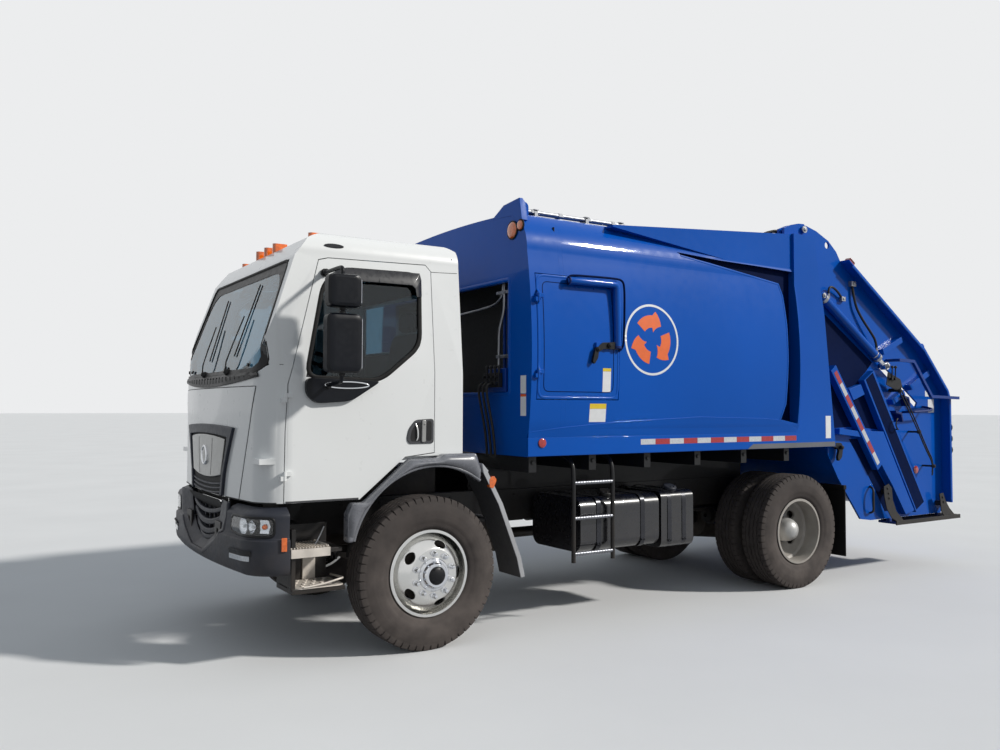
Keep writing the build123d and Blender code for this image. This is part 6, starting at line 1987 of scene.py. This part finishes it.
def gate_plates(name, side):
    """Sheets of painted deep shade between the frames of the side, where shadow falls, and the plates that
    stand in them.
    """
    # Thin near black sheets over the side plate and the brace: painted shadow
    bm = bmesh.new()
    low, high = span(side, 1.1202, 1.1212)
    prism_into(bm, placed(((-4.170, 2.560), (-4.230, 2.620), (-5.050, 2.125), (-4.950, 2.030),
        (-4.820, 1.940), (-5.130, 1.450), (-4.720, 1.480), (-4.440, 1.470), (-4.300, 1.470))), low, high)
    prism_into(bm, placed(((-4.660, 1.360), (-4.860, 1.360), (-4.950, 1.240), (-5.120, 1.030),
        (-5.270, 0.850), (-5.420, 0.620), (-5.230, 0.620), (-5.020, 0.920), (-4.800, 1.200))), low, high)
    prism_into(bm, placed(((-4.845, 1.945), (-4.960, 2.018), (-5.806, 0.690), (-5.672, 0.616))),
        *span(side, 1.1902, 1.1912))
    piece(f"gate_painted_shade_{name}", bm, deep_shade_blue, "tailgate", 0)
    bm = bmesh.new()
    prism_into(bm, placed(((-4.760, 1.440), (-5.128, 1.430), (-5.276, 1.190), (-5.452, 0.905),
        (-5.640, 0.610), (-5.490, 0.575), (-5.270, 0.880), (-5.120, 1.060), (-4.960, 1.270))),
        *span(side, 1.1205, 1.1880))
    prism_into(bm, placed(((-4.600, 1.850), (-4.790, 1.900), (-4.850, 1.800), (-4.670, 1.740))),
        *span(side, 1.1205, 1.1750))
    piece(f"gate_plates_{name}", bm, blue, "tailgate", 0.003)


def gate_rim(name, side):
    """Hinge pin's head, the flange on the rim's outer edge with its lifting eye, and the latch hook."""
    bm = bmesh.new()
    bar_into(bm, (at(-3.960), side * 1.165, 3.345), (at(-3.960), side * 1.180, 3.345), 0.034)
    bolt_into(bm, (at(-3.960), side * 1.180, 3.345), (0, side, 0), 0.014, 0.012)
    piece(f"hinge_pin_head_{name}", bm, steel, "tailgate", 0.002)
    rim = ((-6.262, 0.690), (-6.262, 1.755), (-6.220, 1.850), (-5.804, 2.272), (-4.610, 3.052))
    corners = [Vector((at(x), side * 1.2235, z)) for x, z in rim]
    path = dense([(corner.x, corner.z) for corner in corners], 0.10, closed=False)
    bm = formed(ribbon_into, [(Vector((x, side * 1.2235, z)), Vector((0, side, 0))) for x, z in path],
        round_section(0.014, 0.005, sink=0.002), closed=False)
    piece(f"rim_bead_{name}", bm, blue, "tailgate", 0)
    bm = formed(lathe_into, [(-0.008, 0.048), (0.008, 0.048), (0.008, 0.024), (-0.008, 0.024)],
        (at(-5.850), side * 1.160, 2.300), (0, 1, 0), 32)
    piece(f"rim_eye_{name}", bm, blue, "tailgate", 0.001)
    bm = bmesh.new()
    hook = rounded(((-4.300, 1.300), (-4.340, 1.330), (-4.470, 1.330), (-4.500, 1.290), (-4.480, 1.190),
        (-4.430, 1.150), (-4.415, 1.190), (-4.440, 1.260), (-4.400, 1.285)), 0.018)
    prism_into(bm, placed(hook), *span(side, 1.1505, 1.176))
    bar_into(bm, (at(-4.455), side * 1.122, 1.285), (at(-4.455), side * 1.200, 1.285), 0.020)
    bolt_into(bm, (at(-4.455), side * 1.200, 1.285), (0, side, 0), 0.013, 0.010)
    piece(f"latch_hook_{name}", bm, black_metal, "tailgate", 0.003)


def gate_step(name, side):
    """Curved brackets and treads of the rear step, and the loop under the first brace."""
    bm = bmesh.new()
    front = ((-5.105, 0.880), (-5.185, 0.905), (-5.235, 0.860), (-5.250, 0.740), (-5.310, 0.620),
        (-5.420, 0.530), (-5.430, 0.516), (-5.330, 0.516), (-5.230, 0.560),
        (-5.150, 0.660), (-5.110, 0.780))
    rear = ((-6.080, 0.760), (-6.150, 0.765), (-6.185, 0.690), (-6.260, 0.600), (-6.350, 0.530),
        (-6.360, 0.516), (-6.160, 0.516), (-6.110, 0.580))
    for outline in (front, rear):
        prism_into(bm, placed(outline), *span(side, 1.1915, 1.2015))
        x, z = outline[2]
        box_into(bm, (at(x + 0.010), at(x + 0.060)), span(side, 1.1208, 1.1925), (z - 0.060, z - 0.010))
    for x, z in ((-5.165, 0.860), (-5.180, 0.810), (-5.190, 0.760), (-6.135, 0.720), (-6.150, 0.670)):
        bolt_into(bm, (at(x), side * 1.2015, z), (0, side, 0), 0.010, 0.008)
    piece(f"step_brackets_{name}", bm, black_metal, "tailgate", 0.002)
    bm = bmesh.new()
    for bar in range(34):
        x = -5.330 - bar * 0.033
        prism_into(bm, ((at(x), 0.5155), (at(x - 0.010), 0.5235), (at(x - 0.020), 0.5155)),
            *span(side, 1.008, 1.192))
    low, high = span(side, 1.196, 1.208)
    box_into(bm, (at(-6.455), at(-5.300)), (low, high), (0.482, 0.524))
    piece(f"step_tread_rear_{name}", bm, black_metal, "tailgate", 0.001)
    pipe(f"gate_loop_{name}", run(side, (-4.985, 1.124, 0.880), (-4.975, 1.170, 0.870),
        (-4.960, 1.180, 0.800), (-4.960, 1.180, 0.700), (-4.975, 1.170, 0.630), (-4.985, 1.124, 0.620)),
        0.011, black_metal, "tailgate")


def gate_rails(name, side):
    """C handle, low rail and the two small guide hooks."""
    pipe(f"gate_pull_{name}", run(side, (-5.330, 1.192, 1.555), (-5.330, 1.220, 1.556),
        (-5.290, 1.235, 1.560), (-5.265, 1.238, 1.520), (-5.265, 1.238, 1.480), (-5.300, 1.235, 1.450),
        (-5.330, 1.220, 1.450), (-5.335, 1.192, 1.450)), 0.007, black_metal, "tailgate")
    # The low rail and the guide hooks wear blue_dark, the blue paint darkened as painted shade
    pipe(f"low_rail_{name}", run(side, (-5.560, 1.122, 1.624), (-5.560, 1.200, 1.626),
        (-5.575, 1.238, 1.628), (-5.640, 1.240, 1.630), (-5.840, 1.240, 1.638), (-5.905, 1.238, 1.650),
        (-5.915, 1.200, 1.668), (-5.915, 1.122, 1.680)), 0.012, blue_dark, "tailgate")
    bm = bmesh.new()
    for x, z in ((-5.430, 1.800), (-5.300, 1.640)):
        prism_into(bm, placed(((x, z), (x - 0.105, z - 0.020), (x - 0.135, z - 0.110),
            (x - 0.115, z - 0.115), (x - 0.090, z - 0.040), (x - 0.005, z - 0.024))),
            *span(side, 1.1205, 1.215))
    piece(f"guide_hooks_{name}", bm, blue_dark, "tailgate", 0.003)


def make_gate_work():
    """Details of the tailgate's sides, then the control levers and their rods on the left."""
    both_sides(gate_cylinder, gate_plates, gate_rim, gate_step, gate_rails)
    for number, offset in enumerate((0.0, 0.030)):
        pipe(f"control_rod_{number + 1}", run(1, (-5.313 - offset, 1.240, 1.849 + offset * 0.6),
            (-5.480 - offset, 1.243, 1.640 + offset * 0.6), (-5.640 - offset, 1.245, 1.420),
            (-5.770 - offset, 1.245, 1.230), (-5.911, 1.243, 1.069 + offset),
            (-5.880, 1.240, 0.965 + offset)), 0.007, black_metal, "tailgate")
    bm = bmesh.new()
    for x, z in ((-5.330, 1.840), (-5.655, 1.420), (-5.905, 1.060)):
        bar_into(bm, (at(x), 1.1208, z), (at(x), 1.252, z), 0.010)
        bar_into(bm, (at(x), 1.226, z), (at(x), 1.256, z), 0.019)
        bolt_into(bm, (at(x), 1.256, z), (0, 1, 0), 0.008, 0.007)
    piece("control_rod_posts", bm, black_metal, "tailgate", 0.001)
    bm = bmesh.new()
    prism_into(bm, placed(rounded(((-5.180, 2.030), (-5.390, 1.960), (-5.420, 1.880), (-5.330, 1.840),
        (-5.150, 1.900)), 0.015)), 1.2065, 1.214)
    box_into(bm, (at(-5.400), at(-5.330)), (1.1208, 1.212), (1.850, 1.866))
    for lever in range(2):
        x = -5.215 - lever * 0.055
        bar_into(bm, (at(x), 1.214, 1.960), (at(x), 1.242, 1.960), 0.014)
        bar_into(bm, (at(x), 1.232, 1.960), (at(x + 0.020), 1.250, 2.070), 0.006)
        ball_into(bm, (at(x + 0.020), 1.250, 2.078), 0.015)
    piece("control_station", bm, black_metal, "tailgate", 0.002)


def make_hopper_wear():
    """Bare worn steel on the hopper's floor and sill, laid on the CAD floor."""
    rows = []
    for step in range(62):
        x = -4.60 - step * 0.0222
        row = []
        for column in range(7):
            found = gate_skin.hit((at(x), -1.0 + column / 3, 1.62), (0, 0, -1))
            if found and found[0].z < 1.30:
                row.append((found[0] + found[1] * 0.0006, found[1]))
        if len(row) == 7:
            rows.append(row)
    piece("hopper_wear", formed(sheet_into, rows, 0.0010), worn_steel, "tailgate", 0)


rear_lamp_x, rear_lamp_y = -6.2855, 1.172


def make_tail_lamps(name, side):
    """Black foot of the red lamp at the top of the rim, and the lamps beside the hopper's sill."""
    bm = bmesh.new()
    along = Vector((-0.84, 0, -0.545))
    out = Vector((-0.545, 0, 0.84))
    centre = Vector((at(-4.626), side * 1.180, 3.0938)) + out * 0.002
    corners = [bm.verts.new(centre + along * a + Vector((0, 1, 0)) * b + out * c) for a in (-0.040, 0.040)
        for b in (-0.032, 0.032) for c in (0.0, 0.012)]
    for order in box_faces:
        bm.faces.new([corners[index] for index in order])
    piece(f"tail_lamp_foot_{name}", bm, rubber, "tailgate", 0.003)
    bm = bmesh.new()
    for z in (1.460, 1.340):
        lathe_into(bm, [(0, 0.048), (0.008, 0.048), (0.016, 0.048 * 0.8), (0.018, 0.0)],
            (at(rear_lamp_x), side * rear_lamp_y, z), (-1, 0, 0), 32, closed=False)
    piece(f"rear_lamps_{name}", bm, red_lens, "tailgate", 0)
    bm = bmesh.new()
    for z in (1.460, 1.340, 1.220):
        lathe_into(bm, [(0, 0.060), (0.006, 0.060), (0.009, 0.060 - 0.006), (0.009, 0.047), (0, 0.047)],
            (at(rear_lamp_x), side * rear_lamp_y, z), (-1, 0, 0), 32)
    piece(f"rear_lamp_rings_{name}", bm, rubber, "tailgate", 0)
    bm = formed(lathe_into, [(0, 0.047), (0.008, 0.047), (0.015, 0.036), (0.017, 0.0)],
        (at(rear_lamp_x), side * rear_lamp_y, 1.220), (-1, 0, 0), 32, closed=False)
    piece(f"reverse_lamp_{name}", bm, bright_lens, "tailgate", 0)


# Chassis details


def make_chassis_work(name, side):
    """Bolts of rails and springs, brake chambers with hoses, shock absorbers and flap clamps."""
    places = [(at(0.80 - step * 0.152), side * 0.430, 0.940 if step % 2 else 0.790) for step in range(34)]
    bolts(f"rail_bolts_{name}", places, (0, side, 0), "chassis", 0.009, 0.010, black_metal)
    bm = bmesh.new()
    for x in (-wheelbase + 0.085, -wheelbase - 0.085):
        for y in (0.352, 0.438):
            bar_into(bm, (at(x), side * y, 0.395), (at(x), side * y, 0.830), 0.010)
            bolt_into(bm, (at(x), side * y, 0.395), (0, 0, -1), 0.016, 0.018)
    for x in (0.072, -0.072):
        for y in (0.352, 0.438):
            bar_into(bm, (at(x), side * y, 0.405), (at(x), side * y, 0.640), 0.009)
    piece(f"spring_ubolts_{name}", bm, black_metal, "chassis", 0)
    centre = Vector((at(-wheelbase + 0.230), side * 0.420, 0.600))
    axis = Vector((1, 0, 0.1)).normalized()
    bm = formed(lathe_into, [(0, 0.02), (0, 0.074), (0.055, 0.078), (0.060, 0.086), (0.070, 0.086),
        (0.075, 0.078), (0.150, 0.076), (0.155, 0.084), (0.165, 0.084), (0.170, 0.072), (0.215, 0.064),
        (0.225, 0.02)], centre, axis, 32)
    piece(f"brake_chamber_{name}", bm, black_metal, "chassis", 0.001)
    pipe(f"brake_hose_{name}", [centre + Vector((0.10, 0, 0.080)), centre + Vector((0.12, 0, 0.150)),
        centre + Vector((0.20, -side * 0.030, 0.200)), centre + Vector((0.34, -side * 0.050, 0.215)),
        centre + Vector((0.45, -side * 0.060, 0.220))], 0.009, hose_black, "chassis")
    pipe(f"shock_body_{name}", run(side, (0.300, 0.470, 0.560), (0.285, 0.470, 0.640),
        (0.262, 0.470, 0.740), (0.240, 0.470, 0.840)), 0.030, black_metal, "chassis", order=2)
    bm = bmesh.new()
    for step in range(5):
        x = at(-4.506) + 0.006
        box_into(bm, (x - 0.014, x - 0.006), span(side, 0.62 + step * 0.13,
            0.64 + step * 0.13), (0.886, 0.914))
    piece(f"flap_clamps_{name}", bm, steel, "chassis", 0.001)


def make_tanks():
    """Straps and caps of the two tanks, the ladder's rungs and uprights, and the battery box's lid."""
    tanks = (("large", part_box("fuel_tank"), (0.22, 0.78)), ("small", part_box("small_tank"), (0.30, 0.75)))
    for label, (first, last), shares in tanks:
        bm = bmesh.new()
        for share in shares:
            x = first[0] + (last[0] - first[0]) * share
            corners = rounded(((last[1] + 0.002, first[2] - 0.002), (last[1] + 0.002, last[2] + 0.002),
                (0.47, last[2] + 0.002), (0.47, first[2] - 0.002)), 0.085)
            middle = Vector((x, (last[1] + 0.47) / 2, (first[2] + last[2]) / 2))
            spots = []
            for y, z in corners:
                place = Vector((x, y, z))
                away = place - middle
                away.x = 0
                spots.append((place, away.normalized()))
            ribbon_into(bm, spots, ((-0.022, -0.001), (-0.022, 0.003), (0.022, 0.003), (0.022, -0.001)))
            for offset in (-0.012, 0.012):
                bolt_into(bm, (x + offset, last[1] + 0.004, first[2] + 0.06), (0, 1, 0), 0.006, 0.012)
        piece(f"tank_straps_{label}", bm, strap_black, "chassis", 0.0008)
        bm = bmesh.new()
        x = first[0] + (last[0] - first[0]) * (0.60 if label == "large" else 0.5)
        lathe_into(bm, [(0, 0.050), (0.020, 0.050), (0.022, 0.058), (0.046, 0.058), (0.052, 0.050),
            (0.052, 0.0)], (x, last[1] - 0.105, last[2] - 0.012), (0, 0.35, 1), 32, closed=False)
        for fin in range(10):
            turn = 2 * pi * fin / 10
            place = Vector((x + 0.055 * cos(turn), last[1] - 0.105 + 0.055 * sin(turn), last[2] + 0.022))
            ball_into(bm, place, 0.008, (1, 1, 1.6))
        piece(f"tank_cap_{label}", bm, black_metal if label == "large" else grey_plastic, "chassis", 0.001)
    bm = bmesh.new()
    for z in (0.545, 0.815, 1.085):
        bar_into(bm, (at(-1.232), 1.165, z), (at(-1.616), 1.165, z), 0.015, 16)
        for notch in range(13):
            x = -1.262 - notch * 0.027
            lathe_into(bm, [(-0.004, 0.0145), (0.0, 0.0175), (0.004, 0.0145), (0.004, 0.010),
                (-0.004, 0.010)], (at(x), 1.165, z), (1, 0, 0), 16)
    piece("ladder_rungs", bm, strap_steel, "chassis", 0, replaced=["tank_ladder"])
    for number, x in enumerate((-1.232, -1.618)):
        pipe(f"ladder_upright_{number + 1}", run(1, (x, 1.165, 0.480), (x, 1.165, 0.900), (x, 1.165, 1.140),
            (x, 1.155, 1.220), (x, 1.110, 1.272), (x, 1.040, 1.290)), 0.017, black_metal, "chassis")
    low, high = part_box("battery_box")
    bm = bmesh.new()
    box_into(bm, (low[0] - 0.004, high[0] + 0.004), (low[1] - 0.004, high[1] + 0.004),
        (high[2] - 0.050, high[2] + 0.003))
    for x in (low[0] + 0.08, high[0] - 0.08):
        box_into(bm, (x - 0.02, x + 0.02), (low[1] - 0.012, low[1] - 0.003), (high[2] - 0.13, high[2] - 0.02))
    piece("battery_lid", bm, black_plastic, "chassis", 0.004)


# Floor, backdrop and light

pale = tone(236, 237, 238)


def seen_rays(tree):
    """Output that is one for rays to the camera, straight or by a glossy or clear surface."""
    path = tree.nodes.new("ShaderNodeLightPath")
    seen = path.outputs["Is Camera Ray"]
    for ray in ("Is Glossy Ray", "Is Transmission Ray"):
        either = tree.nodes.new("ShaderNodeMath")
        either.operation = "MAXIMUM"
        tree.links.new(seen, either.inputs[0])
        tree.links.new(path.outputs[ray], either.inputs[1])
        seen = either.outputs[0]
    return seen


def make_stage():
    """Wide pale floor, darker for the light that it throws back than for the camera."""
    bm = bmesh.new()
    box_into(bm, (-220, 220), (-220, 220), (-0.05, 0.0))
    floor = linked("floor", mesh_of("floor", bm))
    made = Nodes("floor_finish")
    shade_of = made.mix(made.ramp(made.noise(0.6, 4.0), 0.3, 0.7), tone(226, 227, 228), tone(231, 232, 233))
    made.join(made.mix(seen_rays(made.tree), tone(104, 104, 106), shade_of), made.shader.inputs["Base Color"])
    made.shader.inputs["Roughness"].default_value = 0.9
    floor.data.materials.append(made.material)


def make_light():
    """Soft sky light, a pale backdrop for the rays that are seen, and one sun."""
    world = bpy.data.worlds.new("world")
    scene.world = world
    world.use_nodes = True
    tree = world.node_tree
    tree.nodes.clear()
    output = tree.nodes.new("ShaderNodeOutputWorld")
    choose = tree.nodes.new("ShaderNodeMixShader")
    lighting = tree.nodes.new("ShaderNodeBackground")
    shown = tree.nodes.new("ShaderNodeBackground")
    tree.links.new(seen_rays(tree), choose.inputs[0])
    lighting.inputs["Color"].default_value = (0.84, 0.92, 1.0, 1)
    lighting.inputs["Strength"].default_value = 0.36
    shown.inputs["Color"].default_value = pale
    shown.inputs["Strength"].default_value = 1.0
    tree.links.new(lighting.outputs[0], choose.inputs[1])
    tree.links.new(shown.outputs[0], choose.inputs[2])
    tree.links.new(choose.outputs[0], output.inputs["Surface"])
    sun = bpy.data.lights.new("key", "SUN")
    sun.energy = 3.0
    sun.angle = radians(4)
    sun.color = (1.0, 0.97, 0.92)
    key = linked("key", sun)
    key.rotation_mode = "QUATERNION"
    key.rotation_quaternion = Vector((-1.10, 1.00, 0.95)).to_track_quat("Z", "Y")


make_camera()
make_stage()
make_light()
dress_plain_nodes()
make_body_shell()
make_hatch()
make_body_marks()
make_body_front()
make_roof_work()
make_seats()
make_dash_work()
make_gate_marks()
make_gate_work()
both_sides(make_tail_lamps)
make_hopper_wear()
both_sides(make_chassis_work)
make_tanks()
# Grab rails in blue_shade, the blue paint darkened as painted shade
dress("grab_rails", blue_shade, 0.006, 3)
make_screen()
make_cowl()
make_nose()
make_bumper()
both_sides(make_headlamps)
make_cab_sides()
both_sides(make_steps)
both_sides(make_arches)
both_sides(make_tyres)
both_sides(make_front_wheels)
both_sides(make_rear_wheels)

scene.view_settings.view_transform = "Standard"
